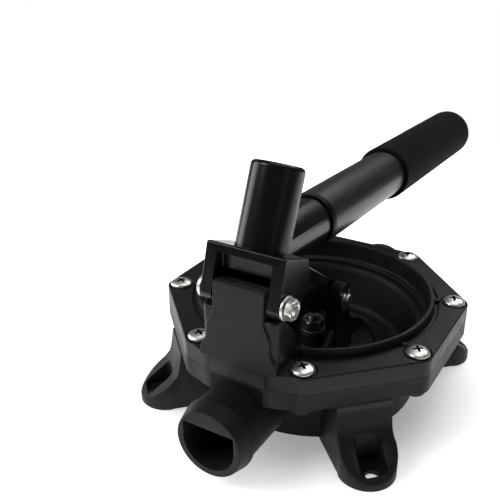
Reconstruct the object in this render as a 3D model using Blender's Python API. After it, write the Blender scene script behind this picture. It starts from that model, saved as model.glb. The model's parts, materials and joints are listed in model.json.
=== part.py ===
"""Hand-operated diaphragm bilge pump, in metres with +Z up.

The origin is the centre of the bowl's underside, level with the feet. The outlet port and the
lever's pillar are on the -Y side, the inlet port is on the +Y side, and the lever turns about X.
"""

import math

import bmesh
import bpy
from mathutils import Matrix, Vector

# Heights of the main levels
FLOOR_TOP = 0.003
PORT_HEIGHT = 0.0207
FLANGE_BOTTOM = 0.030
BODY_TOP = 0.03885
RING_BOTTOM = 0.03915
GROOVE_FLOOR = 0.0462
DECK = 0.047
GAP = 0.0003

# Flange and its screws
SCREW_COUNT = 8
SCREW_CIRCLE = 0.0665
CORNER_RADIUS = 0.0066
SCREW_RADIUS = 0.0025
HEAD_RADIUS = 0.0052
SCREW_TIP = 0.0310
HEAD_SEAT = GROOVE_FLOOR + GAP
SCREW_TWIST = 0.6

# Bowl, bead groove and diaphragm
BOWL_RADIUS = 0.055
BOWL_FOOT_RADIUS = 0.0517
CAVITY_RADIUS = 0.0493
LIP_RADIUS = 0.0514
BEAD_INNER = 0.0532
BEAD_OUTER = 0.0582
BEAD_FLOOR = 0.0360
RING_BORE = 0.0522
RUBBER = 0.0015

# Feet
FOOT_HALF_WIDTH = 0.0125
FOOT_TOE_RADIUS = 0.0129
FOOT_TOE_CENTRE = 0.0743
FOOT_HOLE_CENTRE = 0.0804
FOOT_HOLE_RADIUS = 0.0029
FOOT_POCKET_CENTRE = 0.0780
FOOT_POCKET_HALF_LENGTH = 0.0064
FOOT_POCKET_HALF_WIDTH = 0.0061
FOOT_POCKET_CORNER = 0.0026

# Ports: a barbed spigot outside and a D-shaped bore inside
PORT_FACE = 0.094
PORT_RADIUS = 0.0162
BARB_RADIUS = 0.0170
PORT_FACE_RADIUS = 0.0149
BORE_HALF_WIDTH = 0.0122
BORE_ROOF = 0.0078
SEAT_STEP = 0.0020
OUTLET_SEAT = 0.058
INLET_SEAT = 0.072
FLAP_THICKNESS = 0.0020
FLAP_PIN_HEIGHT = 0.0260
FLAP_PIN_RADIUS = 0.0010
FLAP_KNUCKLE = 0.0022

# Pillar and lever hinge
PILLAR_FACE = -0.072
PILLAR_HALF_WIDTH = 0.0119
HINGE = Vector((0.0, -0.0648, 0.0755))
HINGE_BOLT_RADIUS = 0.0025
CHEEK_INNER = 0.0130
CHEEK_OUTER = 0.0184

# Lever spigots and handle
SPIGOT_RADIUS = 0.0114
SPIGOT_LEAN = math.radians(22.8)
SPIGOT_FOOT = Vector((0.0, -0.0516, 0.0902))
STEEP_SPIGOT_LENGTH = 0.0364
HANDLE_DIP = math.radians(2.9)
HANDLE_SPIGOT_LENGTH = 0.0840
TUBE_RADIUS = 0.0127
TUBE_BORE = 0.0117
END_RING_LENGTH = 0.0025
TUBE_START = 0.0461
TUBE_END = 0.2535
GRIP_START = 0.1340
GRIP_END = 0.2570
GRIP_RADIUS = 0.0149

# Clevis: the lever's eye between the ears on the diaphragm plate
CLEVIS = Vector((0.0, 0.0, 0.0478))
EYE_HALF_WIDTH = 0.0090
EYE_RADIUS = 0.0080
CLEVIS_PIN_RADIUS = 0.0030
SLOT_TRAVEL = 0.0018
EAR_INNER = 0.0100
EAR_OUTER = 0.0160
PLATE_RADIUS = 0.0330
PLATE_TOP = 0.0200
PLATE_BOTTOM = 0.0180
BACKING_RADIUS = 0.0310
CENTRE_BOLT_RADIUS = 0.0030

MATERIALS = {
    "moulded_black": ((0.018, 0.018, 0.020), 0.42, 0.0),
    "gloss_black": ((0.010, 0.010, 0.011), 0.22, 0.0),
    "anodised_tube": ((0.035, 0.036, 0.038), 0.36, 0.6),
    "foam": ((0.012, 0.012, 0.013), 0.90, 0.0),
    "rubber": ((0.015, 0.015, 0.016), 0.65, 0.0),
    "stainless": ((0.66, 0.66, 0.64), 0.25, 1.0),
}


def clear_scene():
    for old in list(bpy.data.objects):
        bpy.data.objects.remove(old, do_unlink=True)


def finish_of(name, look):
    """A Principled material of the piece's own."""
    colour, roughness, metallic = MATERIALS[look]
    material = bpy.data.materials.new(name)
    material.use_nodes = True
    shader = material.node_tree.nodes["Principled BSDF"]
    shader.inputs["Base Color"].default_value = (*colour, 1.0)
    shader.inputs["Roughness"].default_value = roughness
    shader.inputs["Metallic"].default_value = metallic
    return material


def object_from(name, form, look=None):
    """Turns a bmesh into an object; a form with no look is a hidden guide for a Boolean."""
    bmesh.ops.remove_doubles(form, verts=form.verts, dist=1e-7)
    bmesh.ops.recalc_face_normals(form, faces=form.faces)
    mesh = bpy.data.meshes.new(name)
    form.to_mesh(mesh)
    form.free()
    mesh.shade_smooth()
    mesh.set_sharp_from_angle(angle=math.radians(35))
    made = bpy.data.objects.new(name, mesh)
    bpy.context.scene.collection.objects.link(made)
    if look:
        mesh.materials.append(finish_of(name, look))
    else:
        made.hide_render = True
        made.display_type = "WIRE"
    return made


def combine(target, tool, operation):
    modifier = target.modifiers.new(f"{operation.lower()}_{tool.name}", "BOOLEAN")
    modifier.object = tool
    modifier.operation = operation
    modifier.solver = "EXACT"


def add(target, *tools):
    for tool in tools:
        combine(target, tool, "UNION")


def cut(target, *tools):
    for tool in tools:
        combine(target, tool, "DIFFERENCE")


def settle(piece):
    """Applies a piece's Booleans, drops their tools and shades the result smooth between edges."""
    bpy.context.view_layer.update()
    graph = bpy.context.evaluated_depsgraph_get()
    whole = bpy.data.meshes.new_from_object(piece.evaluated_get(graph))
    tools = [modifier.object for modifier in piece.modifiers]
    piece.modifiers.clear()
    piece.data = whole
    for tool in tools:
        bpy.data.objects.remove(tool, do_unlink=True)
    whole.shade_smooth()
    whole.set_sharp_from_angle(angle=math.radians(35))
    return piece


def add_loft(form, loops, closed=False):
    """Skins a run of loops of equal length; a loft that isn't closed gets flat end caps."""
    rows = [[form.verts.new(point) for point in loop] for loop in loops]
    pairs = list(zip(rows, rows[1:]))
    if closed:
        pairs.append((rows[-1], rows[0]))
    else:
        form.faces.new(rows[0])
        form.faces.new(rows[-1])
    for low, high in pairs:
        for i, corner in enumerate(low):
            follow = (i + 1) % len(low)
            form.faces.new((corner, low[follow], high[follow], high[i]))


def loft(name, loops, look=None, closed=False):
    form = bmesh.new()
    add_loft(form, loops, closed)
    return object_from(name, form, look)


def add_turned(form, profile, steps, place=Matrix()):
    """Spins a closed outline of (radius, height) pairs about Z, then places it."""
    fresh = [form.verts.new((radius, 0.0, height)) for radius, height in profile]
    edges = []
    for near, far in zip(fresh, fresh[1:] + fresh[:1]):
        if near.co.x > 0 or far.co.x > 0:
            edges.append(form.edges.new((near, far)))
    before = set(form.verts) - set(fresh)
    bmesh.ops.spin(
        form,
        geom=fresh + edges,
        cent=(0, 0, 0),
        axis=(0, 0, 1),
        angle=2 * math.pi,
        steps=steps,
        use_merge=True,
    )
    made = [vertex for vertex in form.verts if vertex not in before]
    bmesh.ops.transform(form, matrix=place, verts=made)


def turned(name, profile, look=None, steps=48, place=Matrix()):
    form = bmesh.new()
    add_turned(form, profile, steps, place)
    return object_from(name, form, look)


def along(direction, origin=(0, 0, 0)):
    """A placement that carries +Z onto the direction, from the origin given."""
    turn = Vector((0, 0, 1)).rotation_difference(Vector(direction).normalized())
    return Matrix.Translation(origin) @ turn.to_matrix().to_4x4()


def rod_profile(radius, low, high, edge=0.0):
    """A plain rod's outline, with a chamfer of the given size on its far end."""
    if edge:
        return [(0, low), (radius, low), (radius, high - edge), (radius - edge, high), (0, high)]
    return [(0, low), (radius, low), (radius, high), (0, high)]


def tube_profile(bore, radius, low, high):
    return [(bore, low), (radius, low), (radius, high), (bore, high)]


def arc(centre, radius, start, end, steps):
    """Points on an arc, from one angle to the other in degrees, both ends included."""
    points = []
    for i in range(steps + 1):
        angle = math.radians(start + (end - start) * i / steps)
        points.append((centre[0] + radius * math.cos(angle), centre[1] + radius * math.sin(angle)))
    return points


def slab(name, outline, low, high, across="X", look=None):
    """Extrudes an outline: of (y, z) across X, of (x, z) across Y, or of (x, y) across Z."""
    lay = {
        "X": lambda u, v, w: (w, u, v),
        "Y": lambda u, v, w: (u, w, v),
        "Z": lambda u, v, w: (u, v, w),
    }[across]
    loops = [[lay(u, v, w) for u, v in outline] for w in (low, high)]
    return loft(name, loops, look)


def mirrored(outline):
    """Completes an outline given as its +u half, from top to bottom."""
    return outline + [(-u, v) for u, v in reversed(outline)]


def screw_angles():
    step = 2 * math.pi / SCREW_COUNT
    return [step * (i + 0.5) for i in range(SCREW_COUNT)]


def on_circle(radius, angle, height=0.0):
    return Vector((radius * math.cos(angle), radius * math.sin(angle), height))


def flange_loop(corner, height):
    """The octagonal flange outline, with its corners round about the screws."""
    arc_steps, flat_steps = 3, 4
    half = math.pi / SCREW_COUNT
    points = []
    for angle in screw_angles():
        centre = on_circle(SCREW_CIRCLE, angle)
        for i in range(arc_steps + 1):
            turn = angle - half + 2 * half * i / arc_steps
            points.append(centre + on_circle(corner, turn))
    loop = []
    for i, point in enumerate(points):
        loop.append(point)
        if i % (arc_steps + 1) == arc_steps:
            follow = points[(i + 1) % len(points)]
            loop += [point.lerp(follow, k / flat_steps) for k in range(1, flat_steps)]
    return [Vector((p.x, p.y, height)) for p in loop]


def round_loop(radius, height):
    """A circle whose points stand on the same rays as those of the flange outline."""
    lift = Vector((0, 0, height))
    return [point.normalized() * radius + lift for point in flange_loop(CORNER_RADIUS, 0)]


def many_rods(name, centres, radius, low, high, steps=12):
    form = bmesh.new()
    for centre in centres:
        add_turned(form, rod_profile(radius, low, high), steps, Matrix.Translation(centre))
    return object_from(name, form)


def d_outline(inset=0.0, steps=16):
    """The port's D: a flat roof, straight sides and a half-round floor, as (x, z) points."""
    width = BORE_HALF_WIDTH - inset
    roof = PORT_HEIGHT + BORE_ROOF - inset
    floor = arc((0.0, PORT_HEIGHT), width, 0, -180, steps)
    return [(-width, roof), (width, roof)] + floor


def foot_height(radius):
    """Top of a foot at a distance from the pump's centre: steep at the bowl, shallow at the toe."""
    ramp = [
        (0.0685, 0.0310),
        (0.0692, 0.0250),
        (0.0703, 0.0185),
        (0.0725, 0.0155),
        (0.0750, 0.0130),
        (0.0800, 0.0090),
        (0.0840, 0.0055),
        (0.0872, 0.0033),
    ]
    for (near, high), (far, low) in zip(ramp, ramp[1:]):
        if radius <= far:
            return high + (low - high) * max(radius - near, 0.0) / (far - near)
    return ramp[-1][1]


def foot(name, angle):
    """A foot as a loft of upright sections from the bowl to the round toe."""
    sections = [(0.0515, FOOT_HALF_WIDTH, 0.0305), (0.0685, FOOT_HALF_WIDTH, 0.0305)]
    sections += [(r, FOOT_HALF_WIDTH, foot_height(r)) for r in (0.0692, 0.0703, 0.0725)]
    for i in range(9):
        sweep = math.radians(2 + 10.5 * i)
        reach = FOOT_TOE_CENTRE + FOOT_TOE_RADIUS * math.sin(sweep)
        sections.append((reach, FOOT_TOE_RADIUS * math.cos(sweep), foot_height(reach)))
    turn = Matrix.Rotation(angle, 4, "Z")
    loops = []
    for i, (r, half, top) in enumerate(sections):
        base = r if i else r - 0.002
        loop = [(base, -half, 0), (r, -half, top), (r, half, top), (base, half, 0)]
        loops.append([turn @ Vector(point) for point in loop])
    return loft(name, loops)


def foot_angles():
    return [math.radians(45 + 90 * i) for i in range(4)]


def port(name, side):
    """The barbed outside of a port, from inside the bowl's wall to its face."""
    profile = [
        (0, 0.0515),
        (0.0150, 0.0515),
        (0.0150, 0.0592),
        (PORT_RADIUS, 0.0592),
        (PORT_RADIUS, 0.0850),
        (BARB_RADIUS, 0.0858),
        (BARB_RADIUS, 0.0872),
        (PORT_FACE_RADIUS, PORT_FACE),
        (0, PORT_FACE),
    ]
    place = along((0, side, 0), (0, 0, PORT_HEIGHT))
    return turned(name, profile, steps=32, place=place)


def make_body():
    bowl = [
        round_loop(BOWL_FOOT_RADIUS - 0.002, 0),
        round_loop(BOWL_FOOT_RADIUS, 0.002),
        round_loop(BOWL_RADIUS, 0.028),
        round_loop(BOWL_RADIUS, FLANGE_BOTTOM),
        flange_loop(CORNER_RADIUS - 0.0008, FLANGE_BOTTOM),
        flange_loop(CORNER_RADIUS, FLANGE_BOTTOM + 0.0008),
        flange_loop(CORNER_RADIUS, BODY_TOP),
        round_loop(BEAD_OUTER, BODY_TOP),
        round_loop(BEAD_OUTER, BEAD_FLOOR),
        round_loop(BEAD_INNER, BEAD_FLOOR),
        round_loop(BEAD_INNER, BODY_TOP - RUBBER - GAP),
        round_loop(LIP_RADIUS, BODY_TOP - RUBBER - GAP),
        round_loop(LIP_RADIUS, 0.0355),
        round_loop(CAVITY_RADIUS, 0.028),
        round_loop(0.0485, 0.006),
        round_loop(0.0455, FLOOR_TOP),
    ]
    body = loft("pump_body", bowl, "moulded_black")
    add(body, port("outlet_port_form", -1), port("inlet_port_form", 1))
    root = [(-0.072, PORT_HEIGHT), (-0.0515, PORT_HEIGHT), (-0.0515, 0.0345)]
    root += [(-0.0660, 0.0345), (-0.0660, BODY_TOP), (-0.072, BODY_TOP)]
    add(body, slab("outlet_root_form", root, -0.015, 0.015))
    web = [(0.0515, PORT_HEIGHT), (0.0680, PORT_HEIGHT), (0.0680, 0.0345), (0.0515, 0.0345)]
    add(body, slab("inlet_root_form", web, -0.015, 0.015))
    add(body, slab("front_pad_form", front_pad(), FLANGE_BOTTOM, BODY_TOP, across="Z"))
    for i, angle in enumerate(foot_angles()):
        add(body, foot(f"foot_form_{i + 1}", angle))
    screws = [on_circle(SCREW_CIRCLE, angle) for angle in screw_angles()]
    add(body, many_rods("screw_boss_form", screws, 0.0062, 0.0290, 0.0310))
    cut(body, many_rods("screw_hole_cut", screws, SCREW_RADIUS + GAP, 0.0270, 0.0410, steps=14))
    cut_feet(body)
    cut_port(body, -1, -OUTLET_SEAT, -PORT_FACE)
    cut_port(body, 1, INLET_SEAT, 0.043)
    return settle(body)


def front_pad():
    """Plan of the thickened flange under the pillar, as (x, y) points."""
    half = [(0.0262, -0.0640), (0.0274, -0.0676), (0.0150, PILLAR_FACE)]
    return half + [(-x, y) for x, y in reversed(half)]


def cut_feet(body):
    """Sinks a round-cornered pocket with a screw hole in its floor into each foot."""
    corners = []
    for x, y, start in ((1, 1, 0), (-1, 1, 90), (-1, -1, 180), (1, -1, 270)):
        centre = (
            FOOT_POCKET_CENTRE + x * (FOOT_POCKET_HALF_LENGTH - FOOT_POCKET_CORNER),
            y * (FOOT_POCKET_HALF_WIDTH - FOOT_POCKET_CORNER),
        )
        corners += arc(centre, FOOT_POCKET_CORNER, start, start + 90, 3)
    form = bmesh.new()
    for angle in foot_angles():
        turn = Matrix.Rotation(angle, 4, "Z")
        levels = (FLOOR_TOP, 0.0330)
        add_loft(form, [[turn @ Vector((x, y, z)) for x, y in corners] for z in levels])
    cut(body, object_from("foot_pocket_cut", form))
    holes = [on_circle(FOOT_HOLE_CENTRE, angle) for angle in foot_angles()]
    cut(body, many_rods("foot_hole_cut", holes, FOOT_HOLE_RADIUS, -0.001, 0.004))


def cut_port(body, side, seat, wide_end):
    """Bores a port in two sizes, which leaves a seat for its flap, and drills for the flap's pin."""
    name = "inlet" if side > 0 else "outlet"
    ends = sorted((side * 0.043, side * (PORT_FACE + 0.001)))
    cut(body, slab(f"{name}_narrow_cut", d_outline(SEAT_STEP), *ends, across="Y"))
    cut(body, slab(f"{name}_wide_cut", d_outline(), wide_end - 0.001, seat, across="Y"))
    socket = rod_profile(FLAP_PIN_RADIUS + GAP, -0.0138, 0.0138)
    place = along((1, 0, 0), (0, flap_pin_y(side), FLAP_PIN_HEIGHT))
    cut(body, turned(f"{name}_pin_cut", socket, steps=12, place=place))


def flap_pin_y(side):
    """Both flaps swing towards -Y, the way the water goes."""
    seat = INLET_SEAT if side > 0 else -OUTLET_SEAT
    return seat - GAP - FLAP_KNUCKLE


def make_flap(name, side):
    """A rubber flap lying on its seat, hung from a knuckle on its pin."""
    y_pin = flap_pin_y(side)
    back = y_pin + FLAP_KNUCKLE
    half = BORE_HALF_WIDTH - 0.0007
    outline = [(-half, FLAP_PIN_HEIGHT), (half, FLAP_PIN_HEIGHT)]
    outline += arc((0.0, PORT_HEIGHT), half, 0, -180, 16)
    flap = slab(name, outline, back - FLAP_THICKNESS, back, across="Y", look="rubber")
    place = along((1, 0, 0), (0, y_pin, FLAP_PIN_HEIGHT))
    knuckle = rod_profile(FLAP_KNUCKLE, -half, half)
    add(flap, turned(f"{name}_knuckle_form", knuckle, steps=16, place=place))
    bore = rod_profile(FLAP_PIN_RADIUS + GAP, -0.014, 0.014)
    cut(flap, turned(f"{name}_bore_cut", bore, steps=12, place=place))
    pin = rod_profile(FLAP_PIN_RADIUS, -0.0134, 0.0134)
    turned(f"{name}_pin", pin, "stainless", steps=12, place=place)
    return settle(flap)


def make_ring():
    """The clamp ring: a rounded octagon with a raised lip round its opening, and the pillar."""
    section = [
        flange_loop(CORNER_RADIUS, RING_BOTTOM),
        flange_loop(CORNER_RADIUS, DECK - 0.001),
        flange_loop(CORNER_RADIUS - 0.0003, DECK - 0.0003),
        flange_loop(CORNER_RADIUS - 0.001, DECK),
        round_loop(0.0594, DECK),
        round_loop(0.0590, GROOVE_FLOOR),
        round_loop(0.0576, GROOVE_FLOOR),
        round_loop(0.0570, 0.0495),
        round_loop(0.0563, 0.0507),
        round_loop(0.0554, 0.0507),
        round_loop(0.0547, 0.0497),
        round_loop(0.0542, 0.0420),
        round_loop(0.0530, 0.0408),
        round_loop(RING_BORE, 0.0400),
        round_loop(RING_BORE, RING_BOTTOM),
    ]
    ring = loft("clamp_ring", section, "moulded_black", closed=True)
    add(ring, slab("ring_pad_form", front_pad(), RING_BOTTOM, DECK, across="Z"))
    add(ring, pillar_plate())
    rib = [(-0.0705, 0.0460), (-0.0705, 0.0690), (-0.0590, 0.0690), (-0.0590, 0.0460)]
    for side in (-1, 1):
        add(ring, gusset(f"gusset_form_{side + 2}", side))
        add(ring, slab(f"pillar_rib_form_{side + 2}", rib, *sorted((side * 0.0085, side * 0.0115))))
    add(ring, hinge_block())
    add_deck_ribs(ring)
    screws = [on_circle(SCREW_CIRCLE, angle) for angle in screw_angles()]
    cut(ring, many_rods("screw_pocket_cut", screws, 0.0060, GROOVE_FLOOR, 0.0560, steps=16))
    cut(ring, many_rods("ring_screw_hole_cut", screws, SCREW_RADIUS + GAP, 0.0380, 0.0480))
    bore = rod_profile(HINGE_BOLT_RADIUS + GAP, -0.014, 0.014)
    cut(ring, turned("pillar_bore_cut", bore, steps=16, place=along((1, 0, 0), HINGE)))
    return settle(ring)


def pillar_plate():
    """The pillar's front wall, leaning back a little as it rises and flared at its foot."""
    half = [(0.0120, 0.0820), (0.0120, 0.0700), (0.0150, 0.0630), (0.0152, 0.0570)]
    half += [(0.0165, 0.0540), (0.0190, 0.0520), (0.0215, 0.0500), (0.0225, 0.0465)]
    loops = []
    for back in (0.0, 0.0030):
        loops.append([(x, PILLAR_FACE + 0.05 * (z - DECK) + back, z) for x, z in mirrored(half)])
    return loft("pillar_plate_form", loops)


def gusset(name, side):
    """A curved side wall that runs from under a lever cheek down to the lip, rounded in front."""
    rim = [(-0.0640, 0.0698), (-0.0600, 0.0662), (-0.0565, 0.0615), (-0.0540, 0.0580)]
    rim += [(-0.0525, 0.0545), (-0.0520, 0.0505), (-0.0550, 0.0460)]
    loops = []
    fronts = ((0.0121, -0.0702), (0.0150, -0.0702), (0.0166, -0.0696), (0.0176, -0.0683), (0.0180, -0.0665))
    for reach, front in fronts:
        wall = [(front, 0.0460), (front, 0.0698)] + rim
        loops.append([(side * reach, y, z) for y, z in wall])
    return loft(name, loops)


def hinge_block():
    """The solid top of the pillar, which carries the hinge bolt between the lever's cheeks."""
    crown = arc((HINGE.y, HINGE.z), 0.0062, 0, 120, 8)
    outline = [(-0.0705, 0.0660), (-0.0586, 0.0660)] + crown + [(-0.0702, 0.0795)]
    return slab("hinge_block_form", outline, -PILLAR_HALF_WIDTH, PILLAR_HALF_WIDTH)


def add_deck_ribs(ring):
    """Short radial ribs that bridge the groove between the lip and each screw."""
    form = bmesh.new()
    for angle in screw_angles():
        turn = Matrix.Rotation(angle, 4, "Z")
        loops = []
        for height in (0.0455, 0.0478):
            corners = [(0.0565, -0.001), (0.0615, -0.001), (0.0615, 0.001), (0.0565, 0.001)]
            loops.append([turn @ Vector((x, y, height)) for x, y in corners])
        add_loft(form, loops)
    add(ring, object_from("deck_rib_form", form))


def make_screws():
    """Pan-head screws with a cross recess, each its own object on one shared mesh."""
    head = [
        (0, SCREW_TIP),
        (SCREW_RADIUS - 0.0008, SCREW_TIP),
        (SCREW_RADIUS, SCREW_TIP + 0.001),
        (SCREW_RADIUS, HEAD_SEAT),
        (HEAD_RADIUS, HEAD_SEAT),
        (HEAD_RADIUS, HEAD_SEAT + 0.0007),
        (0.0043, HEAD_SEAT + 0.0017),
        (0.0028, HEAD_SEAT + 0.0024),
        (0, HEAD_SEAT + 0.0027),
    ]
    screw = turned("ring_screw_1", head, "stainless", steps=12)
    for mark, (half_x, half_y) in enumerate(((0.0026, 0.0005), (0.0005, 0.0026))):
        bar = [(-half_x, -half_y), (half_x, -half_y), (half_x, half_y), (-half_x, half_y)]
        recess = (HEAD_SEAT + 0.0012, HEAD_SEAT + 0.004)
        cut(screw, slab(f"cross_cut_{mark + 1}", bar, *recess, across="Z"))
    settle(screw)
    for i, angle in enumerate(screw_angles()):
        if i > 0:
            screw = bpy.data.objects.new(f"ring_screw_{i + 1}", screw.data)
            bpy.context.scene.collection.objects.link(screw)
        screw.location = on_circle(SCREW_CIRCLE, angle)
        screw.rotation_euler.z = angle + SCREW_TWIST * i


def make_diaphragm():
    """The rubber diaphragm: a clamped bead, a rolling wall, and a flat under the plate."""
    low = PLATE_BOTTOM - GAP - RUBBER
    top = BODY_TOP
    outer = [
        (0.0036, low),
        (0.0440, low),
        (0.0460, low + 0.0010),
        (0.0470, low + 0.0030),
        (0.0480, 0.0260),
        (0.0500, 0.0350),
        (0.0507, top - RUBBER),
        (BEAD_INNER + GAP, top - RUBBER),
        (BEAD_INNER + GAP, BEAD_FLOOR + GAP),
        (BEAD_OUTER - GAP, BEAD_FLOOR + GAP),
        (BEAD_OUTER - GAP, top),
        (0.0500, top),
        (0.0487, 0.0365),
        (0.0465, 0.0262),
        (0.0455, low + 0.0036),
        (0.0446, low + 0.0022),
        (0.0434, low + RUBBER),
        (0.0036, low + RUBBER),
    ]
    return turned("diaphragm", outer, "rubber", steps=48)


def make_plate():
    """The plate above the rubber, with the two ears that carry the clevis pin."""
    disc = [
        (0.0033, PLATE_BOTTOM),
        (PLATE_RADIUS, PLATE_BOTTOM),
        (PLATE_RADIUS, PLATE_TOP + 0.001),
        (PLATE_RADIUS - 0.0015, PLATE_TOP + 0.001),
        (PLATE_RADIUS - 0.0020, PLATE_TOP),
        (0.0075, PLATE_TOP),
        (0.0065, 0.0264),
        (0.0033, 0.0264),
    ]
    plate = turned("diaphragm_fork", disc, "moulded_black", steps=48)
    ear = [(0.0092, 0.0190), (0.0082, 0.0300), (0.0079, CLEVIS.z)]
    ear += arc((0.0, CLEVIS.z), 0.0077, 0, 180, 12)
    ear += [(-0.0079, CLEVIS.z), (-0.0082, 0.0300), (-0.0092, 0.0190)]
    rib = [(0.0070, 0.0350), (0.0100, 0.0335), (0.0170, 0.0285), (0.0240, 0.0250), (0.0300, 0.0195)]
    brace = mirrored(rib + [(0.0300, 0.0190)])
    for side in (-1, 1):
        mark = side + 2
        flare = [(side * x, z) for x, z in ((EAR_INNER, CLEVIS.z), (EAR_OUTER, CLEVIS.z))]
        flare += [(side * 0.0160, 0.0300), (side * 0.0185, 0.0190), (side * EAR_INNER, 0.0190)]
        add(plate, slab(f"ear_form_{mark}", ear, *sorted((side * EAR_INNER, side * EAR_OUTER))))
        add(plate, slab(f"ear_foot_form_{mark}", flare, -0.0076, 0.0076, across="Y"))
        add(plate, slab(f"ear_brace_form_{mark}", brace, *sorted((side * 0.0135, side * 0.0155))))
    bore = rod_profile(CLEVIS_PIN_RADIUS + GAP, -0.018, 0.018)
    cut(plate, turned("ear_bore_cut", bore, steps=16, place=along((1, 0, 0), CLEVIS)))
    return settle(plate)


def hex_profile(width, z_low, z_high, bore, name, look, place=Matrix()):
    """A hexagon nut of the given width across flats, with a plain bore."""
    outer = []
    for i in range(18):
        angle = math.radians(20 * i)
        reach = width / 2 / math.cos(math.radians((20 * i + 30) % 60 - 30))
        outer.append((reach, angle))
    loops = []
    for kind, z in (("hex", z_low), ("hex", z_high), ("bore", z_high), ("bore", z_low)):
        loops.append([place @ on_circle(r if kind == "hex" else bore, a, z) for r, a in outer])
    return loft(name, loops, look, closed=True)


def make_centre_fasteners():
    """The bolt that clamps the rubber between its plates, with its backing plate, washer and nut."""
    top = PLATE_BOTTOM - 2 * GAP - RUBBER
    backing = tube_profile(0.0033, BACKING_RADIUS, top - 0.0023, top)
    turned("diaphragm_backing_plate", backing, "moulded_black", steps=40)
    seat = top - 0.0023 - GAP
    bolt = [
        (0, seat - 0.0024),
        (0.0040, seat - 0.0024),
        (0.0058, seat - 0.0012),
        (0.0060, seat),
        (CENTRE_BOLT_RADIUS, seat),
        (CENTRE_BOLT_RADIUS, 0.0345),
        (CENTRE_BOLT_RADIUS - 0.0005, 0.0350),
        (0, 0.0350),
    ]
    turned("centre_bolt", bolt, "stainless", steps=20)
    turned("centre_washer", tube_profile(0.0033, 0.0062, 0.0267, 0.0277), "stainless", steps=24)
    hex_profile(0.0100, 0.0280, 0.0328, 0.0033, "centre_nut", "stainless")


def make_clevis_pin():
    """The pin through the ears and the lever's eye, kept in by a clip in its groove."""
    pin = [
        (0, -0.0185),
        (0.0036, -0.0185),
        (0.0044, -0.0178),
        (0.0044, -0.0163),
        (CLEVIS_PIN_RADIUS, -0.0163),
        (CLEVIS_PIN_RADIUS, 0.0163),
        (0.0022, 0.0163),
        (0.0022, 0.0175),
        (CLEVIS_PIN_RADIUS, 0.0175),
        (CLEVIS_PIN_RADIUS, 0.0184),
        (0.0025, 0.0189),
        (0, 0.0189),
    ]
    turned("clevis_pin", pin, "stainless", steps=20, place=along((1, 0, 0), CLEVIS))
    clip = [(CLEVIS.y + y, CLEVIS.z + z) for y, z in arc((0, 0), 0.0055, -235, 55, 20)]
    clip += [(CLEVIS.y + y, CLEVIS.z + z) for y, z in arc((0, 0), 0.0025, 55, -235, 16)]
    slab("clevis_pin_clip", clip, 0.0166, 0.0172, look="stainless")


def spigot_direction():
    return Vector((0, math.sin(SPIGOT_LEAN), math.cos(SPIGOT_LEAN)))


def handle_direction():
    return Vector((0, math.cos(HANDLE_DIP), -math.sin(HANDLE_DIP)))


def make_lever():
    """The lever: two cheeks and a web over the pillar, two spigots, and the arm to the clevis."""
    hub = arc((HINGE.y, HINGE.z), 0.0052, 180, 270, 4)
    hub += [(-0.0500, 0.0703), (-0.0415, 0.0745), (-0.0433, 0.0839), (-0.0446, 0.0884)]
    hub += [(-0.0628, 0.0958), (-0.0640, 0.0958)]
    lever = slab("lever", hub, -CHEEK_OUTER, CHEEK_OUTER, look="gloss_black")
    hollow = [(-0.0760, 0.0600), (-0.0545, 0.0600), (-0.0545, 0.0815), (-0.0575, 0.0843), (-0.0760, 0.0843)]
    cut(lever, slab("lever_hollow_cut", hollow, -CHEEK_INNER, CHEEK_INNER))
    recess = [(-0.0760, 0.0600), (-0.0632, 0.0600), (-0.0605, 0.0925), (-0.0660, 0.0925)]
    recess += [(-0.0760, 0.0925)]
    cut(lever, slab("lever_recess_cut", recess, -CHEEK_INNER, CHEEK_INNER))
    add(lever, lever_arm())
    steep = rod_profile(SPIGOT_RADIUS, 0, STEEP_SPIGOT_LENGTH, edge=0.0015)
    add(lever, turned("steep_spigot_form", steep, steps=40, place=along(spigot_direction(), SPIGOT_FOOT)))
    low = rod_profile(SPIGOT_RADIUS, 0, HANDLE_SPIGOT_LENGTH, edge=0.0010)
    add(lever, turned("handle_spigot_form", low, steps=40, place=along(handle_direction(), SPIGOT_FOOT)))
    bore = rod_profile(HINGE_BOLT_RADIUS + GAP, -0.021, 0.021)
    cut(lever, turned("lever_bore_cut", bore, steps=16, place=along((1, 0, 0), HINGE)))
    cut(lever, eye_slot())
    return settle(lever)


def lever_arm():
    """The curved arm from the hub down to the eye round the clevis pin."""
    eye = (CLEVIS.y, CLEVIS.z)
    outline = [(-0.0440, 0.0800), (-0.0500, 0.0780), (-0.0560, 0.0715), (-0.0480, 0.0665)]
    outline += [(-0.0340, 0.0590), (-0.0180, 0.0465)]
    outline += arc(eye, EYE_RADIUS, 215, 405, 14)
    outline += [(-0.0087, 0.0625), (-0.0227, 0.0725), (-0.0330, 0.0790)]
    return slab("lever_arm_form", outline, -EYE_HALF_WIDTH, EYE_HALF_WIDTH)


def eye_slot():
    """The eye is a slot along the line to the hinge, so the pin has room as the arm swings."""
    reach = (CLEVIS - HINGE).normalized()
    tilt = math.degrees(math.atan2(reach.z, reach.y))
    radius = CLEVIS_PIN_RADIUS + 0.0010
    ends = []
    for sign, start in ((1, -90), (-1, 90)):
        centre = CLEVIS + sign * SLOT_TRAVEL * reach
        ends += arc((centre.y, centre.z), radius, tilt + start, tilt + start + 180, 8)
    return slab("eye_slot_cut", ends, -0.012, 0.012)


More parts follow.
